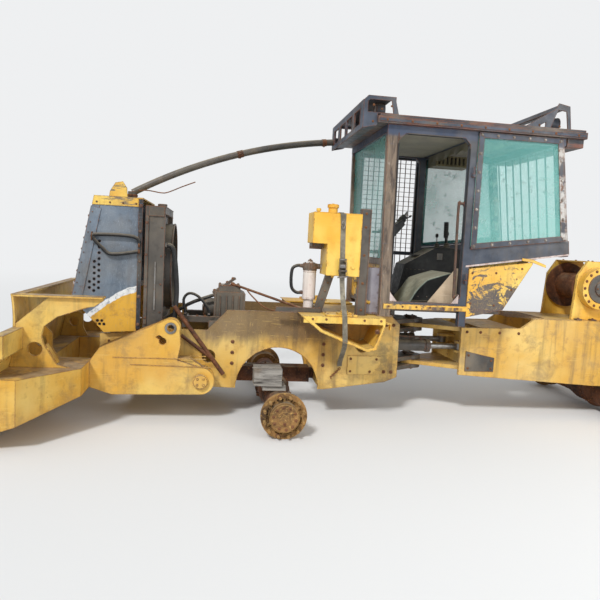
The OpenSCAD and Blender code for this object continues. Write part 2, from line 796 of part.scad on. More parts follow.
module hub_at(x, s) {
  placed() translate([x, 0, 0]) mirror([0, s > 0 ? 0 : 1, 0]) difference() {
    union() {
      difference() {
        union() {
          rod_y(0, hub_z, 150, [flange_face_y - 195, flange_face_y - 20]);
          rod_y(0, hub_z, flange_r, [flange_face_y - flange_t, flange_face_y]);
        }
        rod_y(0, hub_z, groove_r[1], [flange_face_y - 16, flange_face_y + 5]);
      }
      for (k = [0:stud_count - 1]) translate([0, 0, hub_z]) rotate([0, k * 360 / stud_count, 0])
        box([cover_r - 10, groove_r[1] + 3], [flange_face_y - 18, flange_face_y], [-7, 7]);
      rod_y(0, hub_z, cover_r, [flange_face_y - 20, flange_face_y + cover_len - 14]);
      rod_y(0, hub_z, cover_r - 12, [flange_face_y, flange_face_y + cover_len]);
      for (k = [0:stud_count - 1])
        translate([0, 0, hub_z]) rotate([0, (k + 0.5) * 360 / stud_count + (s > 0 ? 0 : hub_turn), 0])
          rod_y(stud_circle / 2, 0, stud_r, [flange_face_y - 5, flange_face_y + stud_len]);
    }
    rod_y(0, hub_z, spindle_r + fit, [flange_face_y - 200, flange_face_y - 25]);
  }
}

module hub_fl() { color(RUST) hub_at(0, 1); }
module hub_fr() { color(RUST) hub_at(0, -1); }
module hub_rl() { color(RUST) hub_at(rear_axle_x, 1); }
module hub_rr() { color(RUST) hub_at(rear_axle_x, -1); }

/* ---- Blade ---- */
beam_x = 1640;
lift_eye = [970, 840];
arm_edge = [arm_y - arm_w / 2, arm_y + arm_w / 2];
arm_plate_t = 25;

module arm_side() {
  difference() {
    union() {
      polygon([[arm_pin_x, 260], [1450, 250], [beam_x, 312], [beam_x, beam_z[1]], [1560, 660],
        [1010, 912], [892, 820],
        [880, 700], [905, 560], [arm_pin_x - 60, 480]]);
      translate([arm_pin_x, arm_pin_z]) circle(r = 120);
      translate(lift_eye) circle(r = 82);
    }
    translate(lift_eye) circle(r = lift_eye_r);
    translate([1035, 725]) circle(r = 30);
    polygon([[1012, 706], [1095, 760], [1065, 778], [1010, 742]]);
    translate([arm_pin_x, arm_pin_z]) circle(r = arm_pin_r + fit);
  }
}

module blade_arms() {
  color(YELLOW) placed() {
    pair() {
      across([arm_edge[0], arm_edge[0] + arm_plate_t]) arm_side();
      across([arm_edge[1] - arm_plate_t, arm_edge[1]]) arm_side();
      across([arm_edge[0] + arm_plate_t, arm_edge[1] - arm_plate_t]) difference() {
        polygon([[arm_pin_x, 270], [1450, 262], [beam_x, 322], [beam_x, beam_z[1] - 10], [1250, 570],
          [800, 580],
          [arm_pin_x - 60, 470]]);
        translate([arm_pin_x, arm_pin_z]) circle(r = arm_pin_r + fit);
      }
    }
  }
}

beam_z = [110, 540];
beam_rear = 2085;
wing_y = 1000;
web_t = 24;
flange = 16;
// the wing's web, with its throat over the beam
wing_outline = [
  [beam_x + 5, beam_z[1] - 20], [1830, beam_z[1] + 30], [1925, 720], [1945, 790], [1930, 870], [1830, 950],
  [1610, blade_h - 90], [1550, blade_h - 80], [1480, blade_h - 30], [1480, blade_h - 5],
  [1885, blade_h - 5], [2185, blade_top - 10], [2300, beam_z[1] - 100], [beam_x + 40, beam_z[1] - 100]
];
// plan and side of the box beam that the push arms carry
beam_plan = [
  [beam_x, -wing_y], [2000, -blade_half_w], [2420, -blade_half_w], [2420, blade_half_w], [2000, blade_half_w],
  [beam_x, wing_y], [beam_x, arm_y - 62], [1985, arm_y - 74], [1985, 74 - arm_y], [beam_x, 62 - arm_y]
];
beam_side = [[1500, beam_z[1]], [1500, 315], [1650, 310], [2250, beam_z[0]], [2420, 78], [2420, beam_z[1]]];

module moldboard() {
  w = blade_half_w;
  color(YELLOW) placed() {
    intersection() {
      difference() {
        rod_y(blade_axis_x, blade_axis_z, blade_face_r + blade_t, [-w, w], $fn = 360);
        rod_y(blade_axis_x, blade_axis_z, blade_face_r, [-w - 10, w + 10], $fn = 360);
      }
      union() {
        box([2100, edge_x], [-w - 5, w + 5], [60, blade_top]);
        box([2100, edge_x], [-wing_y, wing_y], [blade_top - 10, blade_h]);
      }
    }
    across([-w, w]) polygon([
      [edge_x, 0], [blade_back(150, blade_face_r) + 20, 150], [blade_back(150, blade_face_r + 5), 150],
      [blade_back(70, blade_face_r + blade_t), 70], [edge_x - edge_t, 0]
    ]);
    // rails outside the wings
    pair() difference() {
      box([beam_rear, 2180], [wing_y + fit, w], [blade_top - 170, blade_top]);
      rod_y(blade_axis_x, blade_axis_z, blade_face_r + blade_t / 2, [-w - 10, w + 10], $fn = 360);
      box([beam_rear + 14, 2135], [wing_y + 20, w - 14], [blade_top - 156, blade_top - 14]);
    }
  }
}

// wings on webs behind the blade's higher middle, and the box beam
module blade_ribs() {
  w = blade_half_w;
  color(YELLOW) placed() difference() {
    union() {
      difference() {
        intersection() {
          translate([0, 0, 50]) linear_extrude(beam_z[1] - 50) polygon(beam_plan);
          across([-w, w]) polygon(beam_side);
        }
        intersection() {
          translate([0, 0, 50]) linear_extrude(beam_z[1] - 70) offset(delta = -20) polygon(beam_plan);
          across([20 - w, w - 20]) offset(delta = -20) polygon(beam_side);
          box([1600, 2150], [-w, w], [0, 600]);
        }
        // drain holes
        pair() rod_z(2050, 800, 22, [0, 300]);
      }
      pair() {
        across([wing_y - web_t, wing_y]) difference() {
          polygon(wing_outline);
          translate([1995, 690]) circle(r = 55);
        }
        across([arm_y - web_t, arm_y]) difference() {
          polygon([[1900, beam_z[1] - 20], [1960, 640], [1960, 760], [2090, 900], [2200, 900],
            [2300, beam_z[1] - 20]]);
          translate([2050, 690]) circle(r = 45);
        }
        box([1480, 2185], [wing_y - 100, wing_y + 30], [blade_h - flange, blade_h]);
        across([wing_y - 100, wing_y - web_t + 1]) strip([1924, 721], [1833, beam_z[1] + 28], 12);
        across([wing_y - 100, wing_y - web_t + 1]) strip([1565, blade_h - 75], [1825, 952], 10);
      }
      box([2100, 2185], [-wing_y, wing_y], [blade_h - flange, blade_h]);
    }
    rod_y(blade_axis_x, blade_axis_z, blade_face_r + blade_t + fit, [-w - 10, w + 10], $fn = 360);
  }
}

/* ---- Rear frame ---- */
rear_outline = [
  [rear_front, 420], [rear_front, 890], [rear_front - 620, 900], [rear_front - 760, rear_deck],
  [rear_end, rear_deck], [rear_end, 420], [rear_axle_x - 330, hub_z + 140], [rear_axle_x + 330, hub_z + 140]
];

module rear_frame() {
  w = rear_half_w - rear_t;
  ears_x = hitch_x - steer_aft - 130;
  color(YELLOW) placed() {
    pair() across([w, rear_half_w]) polygon(rear_outline);
    for (z = [hitch_up, hitch_lo]) difference() {
      translate([0, 0, z - hitch_ear_t / 2]) linear_extrude(hitch_ear_t) {
        translate([hitch_x, 0]) circle(r = hitch_ear_r - 5);
        polygon([[hitch_x, -hitch_ear_r + 5], [rear_front, -w], [rear_front - 60, -w], [rear_front - 60, w],
          [rear_front, w], [hitch_x, hitch_ear_r - 5]]);
      }
      rod_z(hitch_x, 0, hitch_pin_r + fit, [z - 100, z + 100]);
    }
    box([ears_x - 30, ears_x], [-w, w], [430, 880]);
    for (s = [1, -1]) steer_ears(ears_x, s * steer_y, hitch_x - steer_aft);
    box([rear_end, rear_front - 770], [-w, w], [rear_deck - 25, rear_deck]);
    box([rear_front - 620, rear_front - 200], [-w, w], [875, 895]);
    box([rear_end, rear_end + 30], [-w, w], [430, rear_deck - 25]);
    box([rear_axle_x + 300, rear_axle_x + 330], [-w, w], [hub_z + 150, rear_deck - 25]);
  }
}

module rear_axle() {
  color(STEEL) placed() {
    translate([rear_axle_x, 0, 0]) {
      axle_body();
      pair() box([-150, 150], [rear_half_w - 60, rear_half_w + 20], [hub_z, hub_z + 140]);
    }
  }
}

module butt_plate() {
  color(STEEL) placed() {
    box([rear_end - butt_t, rear_end], [-550, 550], [300, rear_deck]);
    box([rear_end - butt_back, rear_end - butt_t], [-550, -520], [300, rear_deck]);
    box([rear_end - butt_back, rear_end - butt_t], [520, 550], [300, rear_deck]);
  }
}

/* ---- Winch and arch ---- */
winch_x = rear_axle_x + 350;
winch_z = rear_deck + 330;
winch_plate = [drum_half + 12, drum_half + 42];

module winch_frame() {
  color(YELLOW) placed() {
    pair() {
      across(winch_plate) polygon([[winch_x - 280, rear_deck], [winch_x + 250, rear_deck],
        [winch_x + 220, winch_z + 120], [winch_x + 120, winch_z + 270], [winch_x - 180, winch_z + 270],
        [winch_x - 280, winch_z + 100]]);
      rod_y(winch_x, winch_z, 45, [drum_half - 60, winch_plate[1]]);
    }
    rod_y(winch_x, winch_z, 210, [winch_plate[1], winch_plate[1] + 90]);
    box([winch_x - 280, winch_x + 120], [-winch_plate[1], winch_plate[1]], [winch_z + 258, winch_z + 270]);
  }
}

module winch_drum() {
  color(STEEL) placed() difference() {
    union() {
      rod_y(winch_x, winch_z, drum_r, [-drum_half, drum_half]);
      for (s = [1, -1]) rod_y(winch_x, winch_z, drum_flange_r, s > 0 ? [drum_half - 20, drum_half] :
        [-drum_half, -drum_half + 20]);
    }
    for (s = [1, -1]) rod_y(winch_x, winch_z, 45 + fit, s > 0 ? [drum_half - 65, drum_half + 5] :
      [-drum_half - 5, -drum_half + 65]);
  }
}

arch_foot = [rear_axle_x - 130, rear_axle_x - 560];
arch_head = [rear_axle_x - 330, rear_axle_x - 640];
arch_y = [rear_half_w - 40, rear_half_w];
lead_x = rear_axle_x - 560;
lead_z = arch_z - 380;

module arch() {
  color(YELLOW) placed() {
    pair() across(arch_y) difference() {
      polygon([[arch_foot[0], rear_deck], [arch_head[0], arch_z], [arch_head[1], arch_z],
        [arch_head[1], lead_z - 120], [arch_foot[1], rear_deck]]);
      polygon([[arch_foot[0] - 110, rear_deck + 120], [arch_head[0] - 90, lead_z - 160],
        [arch_head[1] + 130, lead_z - 160], [arch_foot[1] + 110, rear_deck + 120]]);
    }
    box([arch_head[1], arch_head[0]], [-arch_y[0], arch_y[0]], [arch_z - 30, arch_z]);
    box([lead_x - 80, lead_x + 80], [-arch_y[0], arch_y[0]], [lead_z - 110, lead_z - 80]);
    for (s = [1, -1]) rod_z(lead_x, s * 200, 20, [lead_z - 80, arch_z - 30]);
    rod_y(lead_x + 150, lead_z - 40, 20, [-arch_y[0], arch_y[0]]);
  }
}

module roller_up(s) {
  placed() difference() {
    rod_z(lead_x, s * 200, roller_r, [lead_z - 75, arch_z - 35]);
    rod_z(lead_x, s * 200, 20 + fit, [lead_z - 100, arch_z]);
  }
}

module roller_left() { color(STEEL) roller_up(1); }
module roller_right() { color(STEEL) roller_up(-1); }

module roller_low() {
  color(STEEL) placed() difference() {
    rod_y(lead_x + 150, lead_z - 40, roller_r, [-arch_y[0] + 5, arch_y[0] - 5]);
    rod_y(lead_x + 150, lead_z - 40, 20 + fit, [-arch_y[0], arch_y[0]]);
  }
}

/* ---- Steering cylinders ---- */
barrel_end = 480;
steer_len = steer_fwd + steer_aft;

module barrel_at(s) {
  placed() translate([hitch_x + steer_fwd, s * steer_y, steer_z]) difference() {
    union() {
      rod_z(0, 0, 50, [-32, 32]);
      rod_x(0, 0, steer_rod_r + 2, [-80, 0]);
      rod_x(0, 0, barrel_r, [-barrel_end, -60]);
      rod_x(0, 0, barrel_r + 8, [-barrel_end, -barrel_end + 40]);
    }
    rod_z(0, 0, steer_pin_r + fit, [-40, 40]);
    rod_x(0, 0, steer_rod_r + fit, [-barrel_end - 5, -barrel_end + 45]);
    rod_x(0, 0, barrel_r - 10, [-barrel_end + 40, -75]);
  }
}

module rod_at(s) {
  placed() translate([hitch_x + steer_fwd, s * steer_y, steer_z]) difference() {
    union() {
      rod_x(0, 0, steer_rod_r, [-steer_len, -steer_len + 540]);
      rod_z(-steer_len, 0, 45, [-32, 32]);
    }
    rod_z(-steer_len, 0, steer_pin_r + fit, [-40, 40]);
  }
}

module steer_barrel_left() { color(YELLOW) barrel_at(1); }
module steer_barrel_right() { color(YELLOW) barrel_at(-1); }
module steer_rod_left() { color("#b9bcc0") rod_at(1); }
module steer_rod_right() { color("#b9bcc0") rod_at(-1); }

front_frame();
hitch_ears();
frame_pipes();
nose_sides();
nose_top();
front_grille();
radiator();
limb_riser();
drive_remains();
hoses();
fenders();
tank();
tank_post();
filter();
cab_frame();
cab_panels();
cab_floor();
roof();
light_guards();
rear_lights();
windshield();
side_panes();
rear_guard();
headliner();
controls();
floor_mat();
grab_handle();
door_right();
front_axle();
timber_blocks();
hub_fl();
hub_fr();
hub_rl();
hub_rr();
blade_arms();
moldboard();
blade_ribs();
rear_frame();
rear_axle();
butt_plate();
winch_frame();
winch_drum();
arch();
roller_left();
roller_right();
roller_low();
steer_barrel_left();
steer_barrel_right();
steer_rod_left();
steer_rod_right();
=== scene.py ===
"""Looks of a stripped articulated log skidder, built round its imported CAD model."""
import itertools
import json
import math
import random

import bmesh
import bpy
from mathutils import Matrix, Vector


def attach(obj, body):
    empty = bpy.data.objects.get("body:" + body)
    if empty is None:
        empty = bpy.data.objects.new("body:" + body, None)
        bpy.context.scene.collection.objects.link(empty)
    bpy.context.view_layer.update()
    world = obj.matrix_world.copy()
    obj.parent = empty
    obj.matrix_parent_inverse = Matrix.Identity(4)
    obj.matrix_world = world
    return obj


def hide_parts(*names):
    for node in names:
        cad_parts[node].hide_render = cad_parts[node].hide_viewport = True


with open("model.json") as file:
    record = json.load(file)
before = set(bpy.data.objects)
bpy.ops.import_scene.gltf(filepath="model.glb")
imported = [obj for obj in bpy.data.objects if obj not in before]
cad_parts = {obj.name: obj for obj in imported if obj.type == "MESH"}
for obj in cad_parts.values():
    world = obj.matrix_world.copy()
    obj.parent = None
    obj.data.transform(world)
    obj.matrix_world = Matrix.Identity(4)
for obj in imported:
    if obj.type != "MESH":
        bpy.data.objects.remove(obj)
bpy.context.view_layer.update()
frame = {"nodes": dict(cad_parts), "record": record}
NODES = frame["nodes"]
rng = random.Random(11)

# pieces are drawn in millimetres from the front axle, which is at this X in the row frame
AXLE_X, MM = 0.955, 0.001


def metres(point):
    return Vector([part * MM for part in point])


def P(x, y, z):
    """A point in metres from the front axle, in the row frame."""
    return Vector((x + AXLE_X, y, z))


def rgb(code):
    """Linear colour from a hex colour."""
    parts = [int(code[i:i + 2], 16) / 255 for i in (1, 3, 5)]
    return tuple(c / 12.92 if c <= 0.04045 else ((c + 0.055) / 1.055) ** 2.4 for c in parts) + (1.0,)


# ---------------------------------------------------------------- camera, light and floor

# the camera's place in metres and its yaw, pitch and roll in degrees, fitted to the photo
CAMERA_AT, CAMERA_TURN, LENS = (1.575, 5.92, 1.62), (8.3, 5.3, 3.0), 36.0


def make_camera():
    yaw, pitch, roll = (math.radians(a) for a in CAMERA_TURN)
    ahead = Vector((-math.sin(yaw) * math.cos(pitch), -math.cos(yaw) * math.cos(pitch), -math.sin(pitch)))
    right = Vector((-math.cos(yaw), math.sin(yaw), 0))
    down = ahead.cross(right)
    image_right = math.cos(roll) * right - math.sin(roll) * down
    image_up = -(math.sin(roll) * right + math.cos(roll) * down)
    data = bpy.data.cameras.new("camera")
    data.lens, data.sensor_width = LENS, 36.0
    camera = bpy.data.objects.new("camera", data)
    rows = zip(image_right, image_up, -ahead)
    camera.matrix_world = Matrix.Translation(CAMERA_AT) @ Matrix([list(r) for r in rows]).to_4x4()
    bpy.context.collection.objects.link(camera)
    bpy.context.scene.camera = camera


def lamp(name, kind, energy, place, size):
    data = bpy.data.lights.new(name, kind)
    data.energy = energy
    if kind == "SUN":
        data.angle = size
    else:
        data.shape, data.size = "DISK", size
    item = bpy.data.objects.new(name, data)
    item.location = place
    item.rotation_euler = (Vector((0, 0, 1.2)) - Vector(place)).to_track_quat("-Z", "Y").to_euler()
    bpy.context.collection.objects.link(item)


def wire(tree, links):
    """Link each pair of sockets."""
    for start, end in links:
        tree.links.new(start, end)


def make_world(color, strength):
    """An even sky, shown as the pale backdrop to the camera and through glass."""
    world = bpy.data.worlds.new("world")
    bpy.context.scene.world = world
    world.use_nodes = True
    tree = world.node_tree
    back = tree.nodes["Background"]
    pale, path, either, mix = (tree.nodes.new("ShaderNode" + kind)
                               for kind in ("Background", "LightPath", "Math", "MixShader"))
    back.inputs["Color"].default_value = color
    back.inputs["Strength"].default_value = strength
    pale.inputs["Color"].default_value = PALE
    either.operation = "MAXIMUM"
    wire(tree, ((path.outputs["Is Camera Ray"], either.inputs[0]),
        (path.outputs["Is Transmission Ray"], either.inputs[1]), (either.outputs[0], mix.inputs[0]),
        (back.outputs[0], mix.inputs[1]), (pale.outputs[0], mix.inputs[2]),
        (mix.outputs[0], tree.nodes["World Output"].inputs["Surface"])))


def make_floor():
    """A round pale floor that fades to the backdrop far out."""
    mesh = bpy.data.meshes.new("floor")
    turns = [math.tau * k / 96 for k in range(96)]
    mesh.from_pydata([(FLOOR_R * math.cos(a), FLOOR_R * math.sin(a), 0) for a in turns], [],
        [list(range(96))])
    floor = bpy.data.objects.new("floor", mesh)
    bpy.context.collection.objects.link(floor)
    mat = bpy.data.materials.new("floor")
    mat.use_nodes = True
    tree = mat.node_tree
    shader = tree.nodes["Principled BSDF"]
    shader.inputs["Base Color"].default_value = (0.74, 0.74, 0.73, 1.0)
    shader.inputs["Roughness"].default_value = 0.9
    glow, coord, length, fade, mix = (tree.nodes.new("ShaderNode" + kind) for kind in ("Emission",
        "TexCoord", "VectorMath", "MapRange", "MixShader"))
    glow.inputs["Color"].default_value = PALE
    length.operation = "LENGTH"
    fade.interpolation_type = "SMOOTHSTEP"
    fade.inputs["From Min"].default_value, fade.inputs["From Max"].default_value = FADE
    wire(tree, ((coord.outputs["Object"], length.inputs[0]), (length.outputs["Value"], fade.inputs["Value"]),
        (fade.outputs[0], mix.inputs[0]), (shader.outputs[0], mix.inputs[1]),
        (glow.outputs[0], mix.inputs[2]), (mix.outputs[0], tree.nodes["Material Output"].inputs["Surface"])))
    mesh.materials.append(mat)


PALE = (0.86, 0.87, 0.88, 1.0)
FLOOR_R, FADE = 80, (7.0, 24.0)
make_camera()
bpy.context.scene.view_settings.view_transform = "Standard"
make_world((0.93, 0.96, 1.0, 1.0), 0.62)
lamp("sun", "SUN", 2.3, (4.0, 7.0, 8.5), math.radians(9))
lamp("fill", "AREA", 150, (-4.0, 6.0, 3.0), 4.0)
make_floor()


# ---------------------------------------------------------------- node graphs

class Graph:
    """A material's nodes. Values are sockets, numbers or hex colours."""

    def __init__(self, name, color):
        self.mat = bpy.data.materials.new(name)
        self.mat.use_nodes = True
        self.tree = self.mat.node_tree
        self.shader = self.tree.nodes["Principled BSDF"]
        self.p = self.node("TexCoord").outputs["Object"]
        geometry = self.node("NewGeometry")
        self.normal = geometry.outputs["Normal"]
        self.flat = geometry.outputs["True Normal"]
        self.x, self.y, self.z = self.split(self.p)
        self.count, self.color = 0, color

    def node(self, kind, inputs=(), **props):
        """A new node with its settings, and its inputs by number or name."""
        made = self.tree.nodes.new("ShaderNode" + kind)
        for key, value in props.items():
            setattr(made, key, value)
        for key, value in inputs.items() if isinstance(inputs, dict) else enumerate(inputs):
            self.feed(made.inputs[key], value)
        return made

    def feed(self, socket, value):
        if isinstance(value, bpy.types.NodeSocket):
            self.tree.links.new(value, socket)
        else:
            socket.default_value = rgb(value) if isinstance(value, str) else value

    def split(self, vector):
        return self.node("SeparateXYZ", [vector]).outputs

    def math(self, op, a, b=0.0, clamp=False):
        return self.node("Math", [a, b], operation=op, use_clamp=clamp).outputs[0]

    def add(self, a, b, clamp=False):
        return self.math("ADD", a, b, clamp)

    def sub(self, a, b):
        return self.math("SUBTRACT", a, b)

    def most(self, a, b):
        return self.math("MAXIMUM", a, b)

    def mul(self, total, *values):
        for value in values:
            total = self.math("MULTIPLY", total, value)
        return total

    def ramp(self, value, low, high, start=0.0, end=1.0):
        return self.node("MapRange", [value, low, high, start, end],
            interpolation_type="SMOOTHSTEP").outputs[0]

    def mix(self, a, b, *shares):
        """From a to b by the product of the shares."""
        return self.node("Mix", {0: self.mul(*shares), 6: a, 7: b}, data_type="RGBA").outputs[2]

    def over(self, color, *shares):
        """Lay a colour over the material's own, by the product of the shares."""
        self.color = self.mix(self.color, color, *shares)

    def where(self, stretch=(1, 1, 1)):
        """Object coordinates, stretched, each call from another place."""
        self.count += 1
        shift = [step * self.count for step in (3.7, 1.9, 5.3)]
        return self.node("VectorMath", [self.p, stretch, shift], operation="MULTIPLY_ADD").outputs[0]

    def noise(self, scale, detail=4, rough=0.55, stretch=(1, 1, 1), twist=0.0):
        return self.node("TexNoise", {"Vector": self.where(stretch), "Scale": scale, "Detail": detail,
                                      "Roughness": rough, "Distortion": twist}).outputs[0]

    def cut(self, low, high, *noise, **more):
        """Noise, ramped from 0 at low to 1 at high."""
        return self.ramp(self.noise(*noise, **more), low, high)

    def cells(self, scale, feature="F1"):
        return self.node("TexVoronoi", {"Vector": self.where(), "Scale": scale},
            feature=feature).outputs["Distance"]

    def above(self, low, high):
        """1 on faces that look up."""
        return self.ramp(self.split(self.normal)[2], low, high)

    def edges(self, radius=0.012):
        """1 on worn edges and corners, 0 on flats."""
        bevel = self.node("Bevel", {"Radius": radius}, samples=4)
        dot = self.node("VectorMath", [bevel.outputs[0], self.flat], operation="DOT_PRODUCT")
        return self.ramp(dot.outputs["Value"], 0.985, 0.9)

    def band(self, value, low, high, soft):
        """1 between low and high."""
        return self.mul(self.ramp(value, low - soft, low), self.ramp(value, high + soft, high))

    def bump(self, height, distance):
        """Relief on slightly rounded edges."""
        bevel = self.node("Bevel", {"Radius": 0.004}, samples=4)
        made = self.node("Bump", {"Height": height, "Distance": distance, "Strength": 1.0,
                                  "Normal": bevel.outputs[0]})
        self.feed(self.shader.inputs["Normal"], made.outputs[0])

    def finish(self, rough, metal=0.0):
        for name, value in (("Base Color", self.color), ("Roughness", rough), ("Metallic", metal)):
            self.feed(self.shader.inputs[name], value)
        return self.mat


DUST = "#B8A88C"
RUST_DARK, RUST_MID, RUST_LIGHT = "#3E2418", "#7A4526", "#A8683A"


def rust_color(g):
    rust = g.mix(RUST_DARK, RUST_MID, g.cut(0.36, 0.56, 34, 5, 0.65))
    return g.mix(rust, RUST_LIGHT, g.cut(0.55, 0.75, 90, 3))


def paint(name, base, faded, deep, rust=0.3, grime=0.4, dust=0.4, wear=0.7, gloss=0.5, region=None):
    """Old machine paint: chalky fading, run-off streaks, scratches, rust and worn edges."""
    g = Graph(name, base)
    g.over(faded, g.cut(0.36, 0.66, 1.7, 3, 0.6))
    g.over(deep, g.cut(0.5, 0.74, 13, 5, 0.65), 0.55)
    if region:
        region(g)
    streak = g.cut(0.5, 0.72, 11, 5, 0.6, (1, 1, 0.07), 0.3)
    g.over("#4A3B2C", streak, grime)
    stain = g.cut(0.52, 0.7, 3.1, 6, 0.7, twist=0.6)
    g.over("#6E5A44", stain, grime)
    fine = g.noise(160, 2, 0.5)
    g.over(faded, g.ramp(fine, 0.55, 0.8), 0.35)
    scratch = g.cut(0.672, 0.7, 5, 2, 0.5, (1.2, 1.2, 34), 0.2)
    scratch2 = g.cut(0.69, 0.71, 6, 2, 0.5, (40, 26, 3), 0.4)
    scratches = g.most(scratch, scratch2)
    g.over(faded, scratches, 0.65)
    blotch = g.noise(3.4, 9, 0.74, twist=0.7)
    ragged = g.add(g.cells(15), g.mul(g.noise(60, 4, 0.7), 0.14))
    spots = g.ramp(ragged, 0.08 * rust + 0.105, 0.085)
    spots = g.mul(spots, g.cut(0.52, 0.62, 2.6))
    patch = g.ramp(blotch, 0.76 - 0.2 * rust, 0.785 - 0.2 * rust)
    halo = g.ramp(blotch, 0.7 - 0.2 * rust, 0.78 - 0.2 * rust)
    edge = g.mul(g.edges(), g.cut(0.62 - 0.3 * wear, 0.7 - 0.2 * wear, 19, 5, 0.7))
    bare = g.most(g.most(patch, spots), edge)
    g.over(RUST_MID, halo, 0.45)
    g.over(rust_color(g), bare)
    top = g.above(0.35, 0.95)
    layer = g.mul(top, g.cut(0.3, 0.62, 5, 5), dust)
    thin = g.mul(g.cut(0.38, 0.7, 2.3, 4), dust * 0.35)
    g.over(DUST, g.most(layer, thin))
    rough = g.ramp(g.noise(21, 4), 0.2, 0.8, gloss - 0.1, gloss + 0.15)
    rough = g.add(rough, g.mul(bare, 0.3), True)
    pits = g.mul(g.noise(120, 4, 0.7), g.ramp(bare, 0, 1, 0.12, 1.0))
    height = g.sub(pits, g.mul(bare, 0.7))
    height = g.sub(height, g.mul(scratches, 0.3))
    height = g.add(height, g.mul(g.noise(3.4, 3), 3.5))
    g.bump(height, 0.0018)
    return g.finish(rough)


def bare_metal(name, dark, mid, light, metal=0.25, gloss=0.62):
    """Rusted or oily bare metal."""
    g = Graph(name, dark)
    g.over(mid, g.cut(0.36, 0.62, 5, 8, 0.7, twist=0.5))
    g.over(light, g.cut(0.54, 0.72, 42, 5, 0.7))
    g.over(DUST, g.above(0.3, 0.9), g.ramp(g.noise(7), 0.35, 0.7, 0, 0.5))
    g.over(light, g.edges(0.008), 0.6)
    height = g.add(g.noise(110, 5, 0.75), g.mul(g.noise(14, 4), 1.6))
    g.bump(height, 0.0016)
    rough = g.ramp(g.noise(30, 4), 0.25, 0.75, gloss, gloss + 0.25)
    return g.finish(rough, metal)


def soft_black(name, base, light, gloss):
    """Rubber, plastic or other dull sheet, dusty and cracked."""
    g = Graph(name, base)
    g.over(light, g.cut(0.42, 0.75, 6, 6, 0.7))
    g.over(DUST, g.above(0.1, 0.9), 0.45)
    crack = g.ramp(g.cells(46, "DISTANCE_TO_EDGE"), 0.03, 0.0)
    g.over(base, crack, 0.5)
    g.bump(g.sub(g.noise(180, 4), g.mul(crack, 0.6)), 0.0008)
    return g.finish(g.ramp(g.noise(24), 0.3, 0.7, gloss, gloss + 0.2))


def cloth(name, base, light, dark):
    """Old lining with a felted weave, stains and pulls."""
    g = Graph(name, base)
    g.over(light, g.cut(0.38, 0.68, 4, 5, 0.65))
    g.over(dark, g.cut(0.56, 0.74, 9, 6, 0.7, twist=0.8))
    weave = g.mul(g.noise(420, 2, stretch=(1, 0.2, 1)), g.noise(420, 2, stretch=(0.2, 1, 1)))
    g.over(dark, g.ramp(weave, 0.3, 0.15, 0, 0.5))
    g.shader.inputs["Sheen Weight"].default_value = 0.25
    g.bump(g.add(weave, g.mul(g.noise(18, 4), 0.8)), 0.0012)
    return g.finish(0.92)


def webbing(name):
    """Woven strap: cross threads, edge seams and ground-in dirt."""
    g = Graph(name, "#6E685C")
    g.over("#A39A86", g.cut(0.35, 0.68, 9, 5, 0.7))
    rib = g.math("SINE", g.mul(g.add(g.z, g.mul(g.y, 0.8)), 1900))
    g.over("#4B463C", g.ramp(rib, 0.2, 0.9, 0, 0.6))
    g.over("#3A332A", g.ramp(g.noise(26, 5, 0.7), 0.56, 0.72, 0, 0.7))
    g.bump(g.add(rib, g.noise(300, 2)), 0.0005)
    return g.finish(0.9)


def wood(name):
    g = Graph(name, "#5E5A55")
    grain = g.noise(26, 6, 0.7, (0.12, 1, 1), 0.9)
    g.over("#9A958D", g.ramp(grain, 0.35, 0.62))
    g.over("#6F5B45", g.ramp(g.noise(4, 4), 0.5, 0.75, 0, 0.6))
    check = g.cut(0.62, 0.68, 18, 3, 0.6, (0.08, 1.5, 1.5))
    g.over("#2C2722", check)
    g.bump(g.sub(grain, g.mul(check, 1.2)), 0.004)
    return g.finish(0.9)


def pane(name, tint, cloudy):
    """Scratched, clouded polycarbonate."""
    g = Graph(name, tint)
    haze = g.cut(0.3, 0.8, 1.3, 5, 0.6)
    fine = g.noise(9, 3, 0.6, (30, 30, 1.2), 0.5)
    fine2 = g.noise(9, 3, 0.6, (1.6, 30, 34), 0.5)
    lines = g.most(g.ramp(fine, 0.66, 0.7), g.ramp(fine2, 0.66, 0.7))
    g.over(cloudy, haze, 0.7)
    g.over("#C9D6CF", lines, 0.6)
    dirt = g.cut(0.56, 0.72, 14, 5, 0.7)
    g.over("#6A6A58", dirt, 0.45)
    marks = g.mul(g.most(lines, dirt), 0.28)
    alpha = g.add(g.ramp(haze, 0, 1, 0.36, 0.56), marks, True)
    g.feed(g.shader.inputs["Alpha"], alpha)
    g.shader.inputs["IOR"].default_value = 1.45
    g.bump(g.add(lines, g.mul(g.noise(5), 2)), 0.0006)
    return g.finish(g.ramp(haze, 0, 1, 0.12, 0.4))


